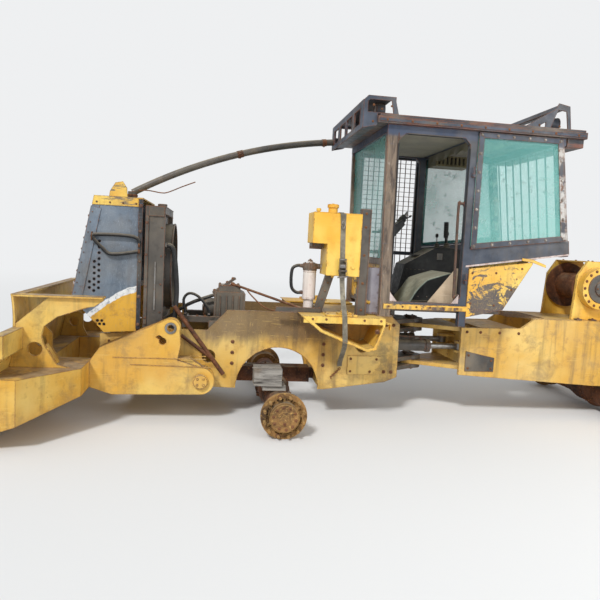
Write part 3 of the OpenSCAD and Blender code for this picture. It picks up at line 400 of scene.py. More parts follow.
def nose_region(g):
    """Scratched pale wear, a peeling white stripe with bare yellow below it, and a black rear flange."""
    arc = g.math("POWER", g.math("ABSOLUTE", g.sub(g.x, 2.2)), 1.6)
    edge = g.sub(1.135, g.mul(arc, 0.95))
    ragged = g.mul(g.sub(g.noise(16, 7, 0.75), 0.5), 0.05)
    depth = g.sub(g.add(edge, ragged), g.z)
    low = g.ramp(depth, -0.004, 0.004)
    worn = g.mix("#D3A02E", "#A07430", g.cut(0.5, 0.72, 8, 6, 0.7))
    web = g.cut(0.62, 0.66, 5, 3, 0.6, (22, 1, 3), 2.2)
    web2 = g.cut(0.64, 0.68, 6, 3, 0.6, (4, 1, 26), 2.6)
    g.over("#A9B3BC", g.most(web, web2), 0.42)
    pale = g.mul(g.cut(0.44, 0.6, 3, 7, 0.75, (1, 1, 0.4)), 0.5)
    g.over("#76838F", pale)
    g.over(worn, low)
    white = g.mix("#DDDEDC", "#8C939A", g.cut(0.5, 0.66, 30, 6, 0.7))
    g.over(white, g.band(depth, -0.052, 0.0, 0.004))
    g.over("#1E2126", g.ramp(g.x, 2.243, 2.239))


def cab_region(g):
    """Weathered brown front posts, a blue header and peeling rear posts."""
    bark = g.noise(16, 6, 0.75, (1.2, 1.2, 0.16), 1.2)
    brown = g.mix("#3B2F27", "#7C6A58", g.ramp(bark, 0.34, 0.6))
    brown = g.mix(brown, "#A09486", g.cut(0.6, 0.74, 40, 4, 0.7, (1, 1, 0.3)))
    low = g.ramp(g.z, 2.64, 2.6)
    g.over(brown, g.band(g.x, -0.04, 0.13, 0.01), low)
    white = g.mix("#B9B6B1", "#6A4A38", g.cut(0.48, 0.62, 20, 6, 0.75))
    peel = g.mul(g.ramp(g.x, -1.44, -1.48), g.cut(0.44, 0.5, 5, 7, 0.75))
    g.over(white, peel, g.mul(low, g.ramp(g.z, 1.76, 1.8)))
    g.over("#2B3B57", g.ramp(g.z, 2.6, 2.64), 0.7)


def roof_region(g):
    """Reddish rust that runs along the roof's edges."""
    run = g.cut(0.47, 0.6, 4.5, 8, 0.75, (0.35, 1, 2.0), 0.6)
    g.over(g.mix("#5A3024", "#8A5238", g.noise(30, 4)), run, 0.8)


def panel_region(g):
    """Dark patches where the lower panels' yellow has peeled, and round rust marks."""
    more = g.mul(g.ramp(g.z, 1.42, 1.2), g.ramp(g.x, -0.74, -0.8, 0.0, 0.16))
    bare = g.ramp(g.add(g.noise(6.5, 9, 0.78, (1, 1, 1.3), 0.9), more), 0.555, 0.575)
    g.over(g.mix("#33373F", "#5A4A40", g.noise(24, 5, 0.7)), bare)
    dots = g.ramp(g.add(g.cells(9), g.mul(g.noise(50, 3), 0.06)), 0.15, 0.11)
    g.over("#7B4A28", dots, g.cut(0.5, 0.6, 3))
    rim = g.mul(g.band(g.z, 1.085, 1.112, 0.004), g.cut(0.4, 0.6, 9, 4, 0.6, (1, 1, 0.1)))
    g.over("#4A3A3C", rim)


def frame_region(g):
    """Oil and rust run down from the middle of the frame's top; its rear end, under the cab, is darkened
    olive grey as painted shade.
    """
    reach = g.add(g.z, g.mul(g.noise(5, 7, 0.7, (1, 1, 0.3)), 0.36))
    high = g.ramp(reach, 0.82, 0.98)
    middle = g.band(g.x, 0.55, 1.6, 0.25)
    dirt = g.mix("#3E3024", "#6E5238", g.noise(18, 6, 0.7))
    g.over(dirt, high, middle, 0.85)
    # painted shade: patchy olive grey darkening on the rear end, under the cab
    rear = g.ramp(g.x, 0.2, -0.1)
    g.over("#55503F", rear, g.ramp(g.noise(3, 6, 0.7), 0.4, 0.6, 0, 0.7))


def blade_region(g):
    """Rust and trodden dirt on the blade's level tops, and shaded oil stains low down."""
    top = g.above(0.55, 0.85)
    rusty = g.mix("#5E3E2A", "#8C6A48", g.cut(0.38, 0.62, 12, 6, 0.75))
    g.over(rusty, top, g.ramp(g.noise(2.2, 7, 0.75), 0.4, 0.52, 0.15, 0.9))
    stain = g.mul(g.ramp(g.z, 0.45, 0.1), g.cut(0.42, 0.62, 4, 6, 0.7))
    g.over("#6A5438", stain, 0.6)


def cap_region(g):
    """Black and grey scuffs on the nose's yellow cap."""
    rub = g.cut(0.53, 0.58, 7, 7, 0.75, (0.45, 1, 2.2), 0.5)
    g.over(g.mix("#26282B", "#6B6E70", g.noise(22, 5, 0.7)), rub, 0.85)


# look: base, faded and deep colours; rust, grime, dust, wear and gloss; its own marks
FRAME, CAB = ("#CC9C3C", "#DAB766", "#9A6E36"), ("#2B323E", "#4A5260", "#171A1F")
PALE_DEEP = ("#E9C660", "#B98223")
PAINTS = {
    "frame_yellow": (FRAME, (0.3, 0.5, 0.4), None),
    "front_frame": (FRAME, (0.3, 0.5, 0.4), frame_region),
    "yellow_paint": (("#DDA52E", *PALE_DEEP), (0.15, 0.25, 0.3), None),
    "cab_panels": (("#D9A22F", *PALE_DEEP), (0.2, 0.35, 0.3, 0.9), panel_region),
    "nose_top": (("#DDA833", *PALE_DEEP), (0.15, 0.3, 0.35, 0.9), cap_region),
    "blade_yellow": (("#D39E33", "#DFBB60", "#A2742F"), (0.35, 0.4, 0.4, 1.0), blade_region),
    "tank_yellow": (("#E2A62A", "#EDC55C", "#CE9226"), (0.02, 0.12, 0.15, 0.4), None),
    "nose_black": (("#4C5865", "#6C7A89", "#353D47"), (0.15, 0.22, 0.4), nose_region),
    "cab_black": (CAB, (0.3, 0.3, 0.4, 1.0), None),
    "cab_frame": (CAB, (0.35, 0.3, 0.3, 1.0), cab_region),
    "roof": (("#2E3138", "#4B4B50", "#191A1D"), (0.45, 0.3, 0.5, 1.0), roof_region),
    "dark_steel": (("#3A3835", "#565049", "#1E1C1B"), (0.35, 0.4, 0.5, 1.0, 0.45), None),
    "pillar_grey": (("#8C8791", "#A8A4AC", "#6A6570"), (0.3, 0.5, 0.3), None),
    "pale_trim": (("#B9A6A0", "#CFC3BE", "#8A7A78"), (0.3, 0.4, 0.3), None),
    "board_tan": (("#B59F84", "#CDBBA2", "#8B755C"), (0.02, 0.35, 0.3, 0.2, 0.8), None),
    "filter_white": (("#D2C3BC", "#E6DED6", "#B58F86"), (0.15, 0.3, 0.2), None),
}
LOOKS = {name: paint(name, *colors, *ages, region=region) for name, (colors, ages, region) in PAINTS.items()}
for build, rows in ((bare_metal, (("rusty_steel", "#3A241A", "#70452B", "#9C6A42"),
        ("hub_iron", "#4A3420", "#9A7240", "#C09A58", 0.15),
        ("rod_steel", "#6B6A68", "#9A9996", "#8A6E55", 0.9, 0.3))),
        (soft_black, (("rubber", "#141415", "#2C2B2A", 0.5), ("cab_trim", "#1E1F20", "#3A3A38", 0.45),
        ("mat", "#59645A", "#8E988A", 0.7))), (webbing, (("webbing",),)), (wood, (("timber",),)),
        (cloth, (("headliner", "#6B6246", "#857A58", "#3E3828"),)),
        (pane, (("pane_green", "#4FA39B", "#8CC7BD"),))):
    for row in rows:
        LOOKS[row[0]] = build(*row)
# nodes with a look of their own; every other node takes the look named by its slot in the record
OWN_LOOK = ("front_frame", "cab_panels", "nose_top", "cab_frame", "roof")

for node in frame["record"]["subparts"]:
    shown = NODES[node["node"]]
    shown.data.materials.clear()
    shown.data.materials.append(LOOKS[node["node"] if node["node"] in OWN_LOOK else node["material_slot"]])


# ---------------------------------------------------------------- pieces

UP, LEFT, AHEAD = (0, 0, 1), (0, 1, 0), (1, 0, 0)
DOWN, BACK = (0, 0, -1), (-1, 0, 0)
CREASE = math.radians(42)


def across_to(vector):
    """Two unit vectors at right angles to a direction."""
    other = Vector(UP) if abs(vector.normalized().z) < 0.9 else Vector(AHEAD)
    first = vector.cross(other).normalized()
    return first, vector.cross(first).normalized()


def circle(count, start=0.0):
    """Cosine and sine of even turns, the first at start."""
    return [(math.cos(a), math.sin(a)) for a in (start + math.tau * k / count for k in range(count))]


class Batch:
    """Small solids gathered into one mesh. Points are given from the front axle."""

    def __init__(self):
        self.verts, self.faces = [], []

    def add(self, verts, faces):
        start = len(self.verts)
        self.verts += [P(*v) for v in verts]
        self.faces += [tuple(start + k for k in face) for face in faces]

    def rings(self, rings, closed=False):
        """A skin over rings of equally many points, with end caps unless closed."""
        n, m = len(rings[0]), len(rings)
        verts = [v for ring in rings for v in ring]
        faces = []
        for i in range(m if closed else m - 1):
            j = (i + 1) % m
            faces += [(i * n + k, i * n + (k + 1) % n, j * n + (k + 1) % n, j * n + k) for k in range(n)]
        if not closed:
            faces += [tuple(range(n - 1, -1, -1)), tuple((m - 1) * n + k for k in range(n))]
        self.add(verts, faces)

    def lathe(self, center, axis, profile, sides=24, turn=0.0, ring=False):
        """A turned shape: profile is (distance along the axis, radius), or a ring's closed section."""
        axis = Vector(axis).normalized()
        u, v = across_to(axis)
        rings, turns = [], circle(sides, turn)
        for along, radius in profile:
            middle = metres(center) + axis * (along * MM)
            rings.append([middle + radius * MM * (c * u + d * v) for c, d in turns])
        self.rings(rings, ring)

    def bolt(self, place, axis, size=12, washer=True):
        """A hex head on a washer; size is the head's radius."""
        turn = rng.uniform(0, 1.0)
        if washer:
            self.lathe(place, axis, [(0, size * 1.35), (size * 0.22, size * 1.35)], 14)
        self.lathe(place, axis, [(size * 0.2, size), (size * 0.85, size), (size * 1.0, size * 0.82)], 6, turn)

    def row(self, places, axis, *how):
        for place in places:
            self.bolt(place, axis, *how)

    def tube(self, points, radius, sides=10, closed=False):
        pts = [metres(p) for p in points]
        n = len(pts)
        tangents = []
        for i in range(n):
            a = pts[(i - 1) % n] if closed or i else pts[0]
            b = pts[(i + 1) % n] if closed or i < n - 1 else pts[-1]
            tangents.append((b - a).normalized())
        u = across_to(tangents[0])[0]
        rings = []
        for p, t in zip(pts, tangents):
            u = (u - t * u.dot(t)).normalized()
            v = t.cross(u)
            rings.append([p + radius * MM * (c * u + d * v) for c, d in circle(sides)])
        self.rings(rings, closed)

    def plate(self, outline, low, high):
        """An outline in X and Z, as thick as from low to high in Y."""
        n = len(outline)
        verts = [(x * MM, y * MM, z * MM) for y in (low, high) for x, z in outline]
        faces = [(k, (k + 1) % n, n + (k + 1) % n, n + k) for k in range(n)]
        faces += [tuple(range(n - 1, -1, -1)), tuple(range(n, 2 * n))]
        self.add(verts, faces)

    def block(self, x, y, z):
        self.plate([(x[0], z[0]), (x[1], z[0]), (x[1], z[1]), (x[0], z[1])], y[0], y[1])

    def weld(self, a, b, radius=6, step=12):
        """A bead with ripples between two points."""
        a, b = metres(a), metres(b)
        count = max(4, int((b - a).length / (step * MM)))
        u, v = across_to(b - a)
        rings = []
        for k in range(count + 1):
            middle = a.lerp(b, k / count)
            r = radius * MM * (1.0 if k % 2 else 0.78) * rng.uniform(0.92, 1.08)
            rings.append([middle + r * (c * u + d * v) for c, d in circle(6)])
        self.rings(rings)

    def seam(self, path, *how):
        """Beads from each point of a path to the next."""
        for a, b in zip(path, path[1:]):
            self.weld(a, b, *how)

    def make(self, name, look, body="chassis", smooth=False, bevel=0):
        piece = skin(name, self.verts, self.faces, look, body)
        if smooth:
            piece.data.shade_smooth()
            piece.data.set_sharp_from_angle(angle=CREASE)
        if bevel:
            edge = piece.modifiers.new("bevel", "BEVEL")
            edge.width, edge.segments, edge.limit_method = bevel * MM, 2, "ANGLE"
        return piece


def batches(count):
    return [Batch() for _ in range(count)]


def skin(name, verts, faces, look, body="chassis", even=True):
    """A piece that rides on a body; even turns its faces outward."""
    mesh = bpy.data.meshes.new(name)
    mesh.from_pydata([tuple(v) for v in verts], [], faces)
    if even:
        work = bmesh.new()
        work.from_mesh(mesh)
        bmesh.ops.recalc_face_normals(work, faces=work.faces)
        work.to_mesh(mesh)
        work.free()
    mesh.materials.append(LOOKS[look])
    piece = bpy.data.objects.new(name, mesh)
    bpy.context.collection.objects.link(piece)
    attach(piece, body)
    return piece


def curve(points, steps=8):
    """A smooth run of points through the given ones."""
    pts = [Vector(p) for p in points]
    out = []
    for i in range(len(pts) - 1):
        a, b, c, d = pts[max(i - 1, 0)], pts[i], pts[i + 1], pts[min(i + 2, len(pts) - 1)]
        for k in range(steps):
            t = k / steps
            bend, twist = 2 * a - 5 * b + 4 * c - d, 3 * b - a - 3 * c + d
            out.append(0.5 * (2 * b + (c - a) * t + bend * t * t + twist * t ** 3))
    return out + [pts[-1]]


def grid(*parts):
    """Places of every mix of three coordinates, each a number or several."""
    return itertools.product(*(part if isinstance(part, tuple) else (part,) for part in parts))


def quads(rows, cols, start=0):
    """Faces of a net of points that are numbered row by row."""
    corners = [start + j * cols + i for j in range(rows - 1) for i in range(cols - 1)]
    return [(a, a + 1, a + cols + 1, a + cols) for a in corners]


def polar(center, axis, radius, count, start=0.0):
    """Places evenly round a centre, in the plane across the named axis."""
    x, y, z = center
    for k in range(count):
        a = math.tau * (k + start) / count
        u, v = radius * math.cos(a), radius * math.sin(a)
        yield {"x": (x, y + u, z + v), "y": (x + u, y, z + v), "z": (x + u, y + v, z)}[axis]


def hoop(half, inner, outer):
    """The section of a plain ring."""
    return [(-half, inner), (-half, outer), (half, outer), (half, inner)]


def line(a, b, count):
    """Points evenly between a and b, both kept."""
    a, b = Vector(a), Vector(b)
    return [a.lerp(b, k / (count - 1)) for k in range(count)]


SIDES = (1, -1)
# hubs: middle above the ground, face, rear axle, and studs
HUB_Z, FACE_Y, REAR_X = 195, 1100, -3600
STUDS, STUD_R, STUD_TURN = 12, 167.5, math.radians(11)
# outer sides of the frames, fenders and cab, and the lamps' distance from the middle
FRAME_Y, REAR_Y, FENDER_Y, CAB_Y, LAMP_Y = 450, 380, 850, 708, 450
# along the machine: the hitch pins and the fairlead's rollers
HITCH_X, ROLLER_X = -1400, -4160
# the rear deck, and the winch drum in X and Z
DECK_Z, WINCH = 1000, (-3250, 1330)
# the foot of the riser tube, the radiator's fan, and the steering cylinders' distance from the middle
RISER_FOOT, FAN_Z, FAN_R, STEER_Y = (1460, -380), 1350, 383.5, 240


def pane_frames():
    """Bolted strips round the rear side panes."""
    strips, peeled, bolts = batches(3)
    outline = [(-1682, 1655), (-2603, 1775), (-2487, 2703), (-1682, 2703)]
    width, face = 50, 712
    middle = Vector((-2100, 2200))
    for s in SIDES:
        n = len(outline)
        inner = []
        for k in range(n):
            a, b, c = (Vector(outline[(k + j - 1) % n]) for j in range(3))
            n1 = Vector((-(b - a).y, (b - a).x)).normalized()
            n2 = Vector((-(c - b).y, (c - b).x)).normalized()
            if n1.dot(middle - b) < 0:
                n1 = -n1
            if n2.dot(middle - b) < 0:
                n2 = -n2
            both = (n1 + n2).normalized()
            inner.append(b + both * width / max(both.dot(n1), 0.3))
        for k in range(n):
            quad = [outline[k], outline[(k + 1) % n], tuple(inner[(k + 1) % n]), tuple(inner[k])]
            (peeled if k == 1 else strips).plate(quad, s * face, s * (face + 6))
            a = (Vector(outline[k]) + inner[k]) / 2
            b = (Vector(outline[(k + 1) % n]) + inner[(k + 1) % n]) / 2
            count = max(3, round((b - a).length / 165) + 1)
            for j in range(count):
                spot = a.lerp(b, j / (count - 1)) if 0 < j < count - 1 or k % 2 == 0 else None
                if spot is not None:
                    bolts.bolt((spot.x, s * (face + 6), spot.y), (0, s, 0), 10.5)
    strips.make("pane_frames", "cab_black", bevel=1.5)
    peeled.make("pane_frames_rear", "cab_frame", bevel=1.5)
    bolts.make("pane_bolts", "rod_steel")


# ---------------------------------------------------------------- nose, riser and engine bay

def riser_at(t):
    """A point on the middle line of the riser tube, t from 0 at the nose to 1 at the roof."""
    a, b, sag = Vector((*RISER_FOOT, 2050)), Vector((-605.6, -630, 2738)), 115
    chord = (b - a).length
    along = (b - a) / chord
    side = along.cross(Vector(UP)).normalized()
    up = side.cross(along).normalized()
    radius = (chord * chord / 4 + sag * sag) / (2 * sag)
    s = (t - 0.5) * chord
    return a.lerp(b, 0.5) + along * s + up * (math.sqrt(radius * radius - s * s) - radius + sag)


def riser_details():
    iron, collar, rod = batches(3)
    for t, wide in ((0.533, 30), (0.955, 22)):
        mid, ahead = riser_at(t), riser_at(t + 0.01) - riser_at(t)
        collar.lathe(mid, ahead, hoop(wide, 33.5, 38.5), 28, ring=True)
        side = ahead.cross(Vector(UP)).normalized()
        iron.bolt(mid + Vector((0, 0, -38.5)), DOWN, 8)
        iron.bolt(mid + side * 37.5, side, 7, False)
    foot = riser_at(0.03)
    for z in (1985, 2020):
        collar.lathe((*RISER_FOOT, z), UP, hoop(11, 45.5, 51), 30, ring=True)
        iron.block((1450, 1470), (-447, -430), (z - 10, z + 10))
        iron.bolt((1470, -438, z), AHEAD, 7.5)
    rod.tube(curve([foot + Vector((0, 30, -10)), (1300, -345, 2078), (1170, -335, 2062), (1100, -330, 2075),
        (970, -325, 2135), (840, -320, 2190)], 6), 5.5, 8)
    iron.make("riser_bolts", "dark_steel")
    collar.make("riser_collars", "rusty_steel", smooth=True)
    rod.make("riser_stub_rod", "rusty_steel", smooth=True)


def nose_details():
    bolts, seam, dark, hooks = batches(4)
    for s in SIDES:
        bolts.row(grid(1268, s * 516, (840, 1090, 1400, 1660, 1880)), (0, s, 0), 11)
        # dark sheets behind the round holes: painted shade for the dark inside seen through them
        y = (s * 482, s * 484.5)
        dark.plate([(1565, 1100), (1565, 1620), (1700, 1620), (1770, 1100)], *y)
        dark.plate([(1550, 800), (1550, 900), (1680, 900), (1610, 825)], *y)
        # front corner band: a seam, its edge and its rivets
        seam.plate([(1772, 1020), (1778, 1020), (1618, 1862), (1612, 1862)], s * 499.8, s * 502.2)
        for k in range(9):
            t = (k + 0.5) / 9
            bolts.bolt((1815 - 150 * t, s * 508, 1060 + 790 * t), (0, s, 0), 5.5, False)
        bolts.row(grid((1310, 1420, 1530, 1640), s * 506, 1895), (0, s, 0), 6.5)
    # hook that the hose loop hangs on
    hooks.tube(curve([(1672, 500, 1632), (1672, 524, 1632), (1672, 541, 1618), (1672, 548, 1590),
        (1672, 541, 1567), (1672, 530, 1562)], 4), 5, 8)
    for z in (1485, 1540):
        hooks.lathe((1265.5, 531.3, z), AHEAD, [(0, 15.2), (0, 18.5), (14, 18.5), (14, 15.2)], 20)
    for x in (1500, 1560, 1620):
        for y in (-215, -185):
            bolts.lathe((x, y, 1950), UP, [(0, 9), (7, 9), (8, 7)], 6, 0.4)
    dark.lathe((*RISER_FOOT, 1950), UP, [(0, 85), (10, 85), (12, 82), (12, 47)], 30)
    bolts.row(polar((*RISER_FOOT, 1962), "z", 68, 6), UP, 9, False)
    bolts.make("nose_bolts", "dark_steel")
    # one dark mesh: the painted-shade sheets behind the holes and the riser foot's grommet
    dark.make("nose_shade_sheets_and_grommet", "rubber")
    seam.make("nose_seams", "dark_steel")
    hooks.make("nose_hooks", "rusty_steel", smooth=True)
    welds = Batch()
    for y in (-211.5, -188.5):
        welds.weld((1482, y, 1952), (1660, y, 1952), 5)
    welds.make("nose_welds", "dark_steel", smooth=True)


def grille_details():
    """A steel screen behind the nose grille's louvres, and bolts round its edge."""
    low, high = Vector((1830, 0, 1050)), Vector((1665, 0, 1938))
    up = (high - low).normalized()
    out = Vector((up.z, 0, -up.x))
    length = (high - low).length
    mesh, bolts = batches(2)

    def bar(a, b):
        mesh.tube([a, b], 1.6, 4)

    back = -19
    for k in range(56):
        y = -440 + 880 * k / 55
        bar(low + up * 50 + out * back + Vector((0, y, 0)),
            low + up * (length - 50) + out * back + Vector((0, y, 0)))
    for k in range(50):
        t = 60 + (length - 120) * k / 49
        bar(low + up * t + out * (back - 3) + Vector((0, -450, 0)),
            low + up * t + out * (back - 3) + Vector((0, 450, 0)))
    for s in SIDES:
        for k in range(8):
            t = 50 + (length - 220) * k / 7
            bolts.bolt(low + up * t + out * 8 + Vector((0, s * 488, 0)), out, 9)
    for y in (-360, -120, 120, 360):
        bolts.bolt(low + up * 24 + Vector((0, y, 0)), out, 9)
        bolts.bolt(low + up * (length - 24) + Vector((0, y, 0)), out, 9)
    mesh.make("grille_screen", "rusty_steel")
    bolts.make("grille_bolts", "dark_steel")


def radiator_details():
    fins, parts, bolts, bright = batches(4)
    for k in range(66):
        y = -375 + 750 * k / 65
        h = math.sqrt(max(0, FAN_R ** 2 - y * y))
        if h > 30:
            fins.block((1095.5, 1100.5), (y - 1.1, y + 1.1), (FAN_Z - h, FAN_Z + h))
    for k in range(11):
        z = 1000 + 70 * k
        h = math.sqrt(max(0, FAN_R ** 2 - (z - FAN_Z) ** 2))
        fins.block((1094, 1100.5), (-h, h), (z - 4, z + 4))
    # fan shroud's rolled edge
    parts.lathe((998, 0, FAN_Z), AHEAD, [(0, 385.5), (-2, 393), (0, 403.5), (10, 405.5), (14, 400.5),
        (10, 386)], 64, ring=True)
    for k in range(12):
        a = math.tau * (k + 0.5) / 12
        if abs(math.cos(a)) > 0.94:
            bolts.bolt((1059.5, 424 * math.cos(a), FAN_Z + 424 * math.sin(a)), BACK, 8)
    for s in SIDES:
        y = s * 485
        bright.block((1128, 1142), (y, y + s * 10), (970, 1400))
        parts.block((1200, 1228), (y, y + s * 14), (840, 1800))
        parts.block((1066, 1200), (y, y + s * 12), (1800, 1886))
        bolts.row(grid(1214, y + s * 14, (900, 1180, 1460, 1740)), (0, s, 0), 8)
        bolts.row(grid(1085, y, (950, 1200, 1450, 1700)), (0, s, 0), 7)
    # filler neck and top tank seam
    parts.lathe((1145, -200, 1890), UP, [(0, 38), (30, 38), (32, 46), (50, 46), (54, 40)], 24)
    for z in (1822, 1888):
        parts.weld((1059, -484, z), (1059, 484, z), 4)
    # hose clamps with their screws
    for x, y, z, axis, r in ((1051, 426, 1550, AHEAD, 22), (960, 426, 842, UP, 22), (870, 236, 922, UP, 13),
            (650, 236, 922, UP, 13)):
        bright.lathe((x, y, z), axis, hoop(8, r + 0.2, r + 2.2), 24)
        bright.block((x - 7, x + 7), (y + r + 1, y + r + 9), (z - 6, z + 6))
    fins.make("radiator_fins", "dark_steel")
    parts.make("radiator_parts", "dark_steel", smooth=True)
    bolts.make("radiator_bolts", "dark_steel")
    bright.make("radiator_strips", "rod_steel", smooth=True)


def engine_bay_details():
    iron, bolts, pipe = batches(3)
    # gear housing left in the bay: flange, ribs, bolts and a drain
    for x in (325, 600):
        iron.block((x - 12, x + 8), (-150, 200), (860, 1120))
        bolts.row(grid(x + 8, (-130, -50, 30, 110, 180), (885, 1095)), AHEAD, 9)
    for y in (190, -140):
        s = 1 if y > 0 else -1
        for x in (370, 430, 490, 550):
            iron.plate([(x - 7, 840), (x + 7, 840), (x + 4, 1100), (x - 4, 1100)], y - s * 4, y + s * 14)
    bolts.row(grid((375, 465, 555), (-90, 145), 1190), UP, 10)
    iron.lathe((689, 30, 960), AHEAD, [(0, 97), (10, 97), (12, 60), (24, 58), (24, 30), (30, 28), (30, 0)],
        36)
    bolts.row(polar((699, 30, 960), "x", 78, 8), AHEAD, 9)
    # bolts in the tilted plate
    turn = math.radians(35)
    for u, v in ((-105, -24), (-105, 24), (-40, 0), (30, -22), (30, 22), (105, -24), (105, 24)):
        x, z = u * math.cos(turn) + 22 * math.sin(turn), -u * math.sin(turn) + 22 * math.cos(turn)
        bolts.bolt((510 + x, 110 + v, 1180 + z), (math.sin(turn), 0, math.cos(turn)), 11)
    # loose pipe resting on the housing and the fender, with its ball end
    a, b = Vector((430, 150, 1205.5)), Vector((-215, 475, 1024.5))
    pipe.tube(line(a, b, 16), 12, 12)
    pipe.lathe(a, a - b, [(-10, 12), (-6, 17), (6, 20.5), (20, 17), (27, 8)], 16)
    pipe.tube(curve([(300, 220, 1160), (260, 300, 1115), (180, 360, 1045), (100, 400, 1003), (0, 430, 997)],
        6), 6.5, 8)
    bolts.row(grid((685, 760), 232, 900), UP, 10)
    iron.make("housing_ribs", "dark_steel", bevel=2)
    bolts.make("housing_bolts", "rusty_steel")
    pipe.make("loose_pipe", "rusty_steel", smooth=True)


# ---------------------------------------------------------------- tank, filter, fenders

# a strap's section, in halves of its width and thickness
STRAP = ((-1, -0.4), (-0.96, -1), (0.96, -1), (1, -0.4), (1, 0.4), (0.96, 1), (-0.96, 1), (-1, 0.4))


def ribbon(points, width, thick):
    """Rings of a flat strap that is wide along X, on a path in Y and Z."""
    pts, width, thick = [metres(p) for p in points], width * MM, thick * MM
    rings = []
    for i, p in enumerate(pts):
        t = (pts[min(i + 1, len(pts) - 1)] - pts[max(i - 1, 0)]).normalized()
        side = (Vector(AHEAD) - t * t.x).normalized()
        n = t.cross(side)
        rings.append([p + side * (width / 2 * a) + n * (thick / 2 * b) for a, b in STRAP])
    return rings


def tank_strap():
    """Webbing tied over the tank, its ratchet, and the free end down to a chain on the frame."""
    front = 702.2
    path = curve([(-492, 397.8, 1560), (-492, 397.8, 1720), (-492, 397.8, 1895), (-492, 405, 1911.8),
        (-492, 430, 1913), (-492, 560, 1912.2), (-492, 675, 1912.5), (-492, 697.5, 1910.5),
        (-492, front + 0.5, 1893), (-493, front, 1780), (-498, front, 1620), (-504, front, 1480),
        (-507, front + 2, 1370), (-508, 712, 1310), (-510, 752, 1210), (-514, 805, 1100), (-519, 843, 1030),
        (-521, 852.6, 1000), (-526, 852.4, 930), (-532, 852.4, 850), (-535, 852, 800), (-538, 838, 765),
        (-550, 740, 690), (-565, 600, 605), (-577, 500, 545), (-583, 466.5, 520), (-586, 457, 495)], 4)
    strap = Batch()
    strap.rings(ribbon(path, 45, 3.2))
    made = strap.make("tank_strap", "webbing", smooth=True)
    steel, pins, links = batches(3)
    # ratchet: frame plates, handle, drum and pins
    for x in (-534, -478):
        steel.plate([(x, 1345), (x + 3, 1345), (x + 3, 1485), (x, 1485)], 704.5, 732)
        steel.plate([(x + 4, 1375), (x + 7, 1375), (x + 7, 1515), (x + 4, 1515)], 712, 742)
        pins.lathe((x + 1.5, 722, 1405), AHEAD, hoop(2, 0, 18), 14)
    pins.lathe((-545, 722, 1405), AHEAD, [(0, 0), (0, 9), (78, 9), (78, 0)], 14)
    pins.lathe((-538, 716, 1355), AHEAD, [(0, 0), (0, 6), (64, 6), (64, 0)], 12)
    pins.lathe((-534, 728, 1505), AHEAD, [(0, 0), (0, 7.5), (63, 7.5), (63, 0)], 12)
    steel.plate([(-528, 1430), (-473, 1430), (-473, 1462), (-528, 1462)], 733, 736)
    steel.plate([(-560, 1352), (-460, 1340), (-455, 1352), (-555, 1366)], 736.5, 739.5)
    # hook and folded strap end high on the front
    pins.tube(curve([(-505, 709.5, 1800), (-492, 711.5, 1776), (-478, 709.5, 1800), (-480, 708.5, 1835),
        (-503, 708.5, 1835)], 4), 4.2, 8, True)
    tail = Batch()
    tail.rings(ribbon(curve([(-470, 600, 1916.5), (-474, 685, 1917.5), (-478, 708.5, 1905),
        (-483, 709.5, 1860), (-487, 708.5, 1815)], 4), 36, 3))
    tail.make("strap_tail", "webbing", smooth=True)
    # chain links along the frame's side, from the strap's end to an eye
    start, end = Vector((-590, 461.5, 478)), Vector((-508, 461.5, 392))
    ahead = (end - start).normalized()
    count = 6
    for k in range(count):
        mid = start.lerp(end, (k + 0.5) / count)
        wide = Vector(LEFT) if k % 2 else ahead.cross(Vector(LEFT))
        mid.y = 466.5 if k % 2 else 460
        ring = [mid + ahead * (13.5 * c) + wide * (8.5 * d) for c, d in circle(14)]
        links.tube(ring, 3.3, 8, True)
    links.tube([(end.x + 4 * c, 458 + 12 * d, end.z - 6 + 10 * c) for c, d in circle(14)], 4.5, 8, True)
    ratchet = steel.make("strap_ratchet", "rod_steel", bevel=0.8)
    knobs = pins.make("strap_pins", "rod_steel", smooth=True)
    chain = links.make("strap_chain", "rusty_steel", smooth=True)


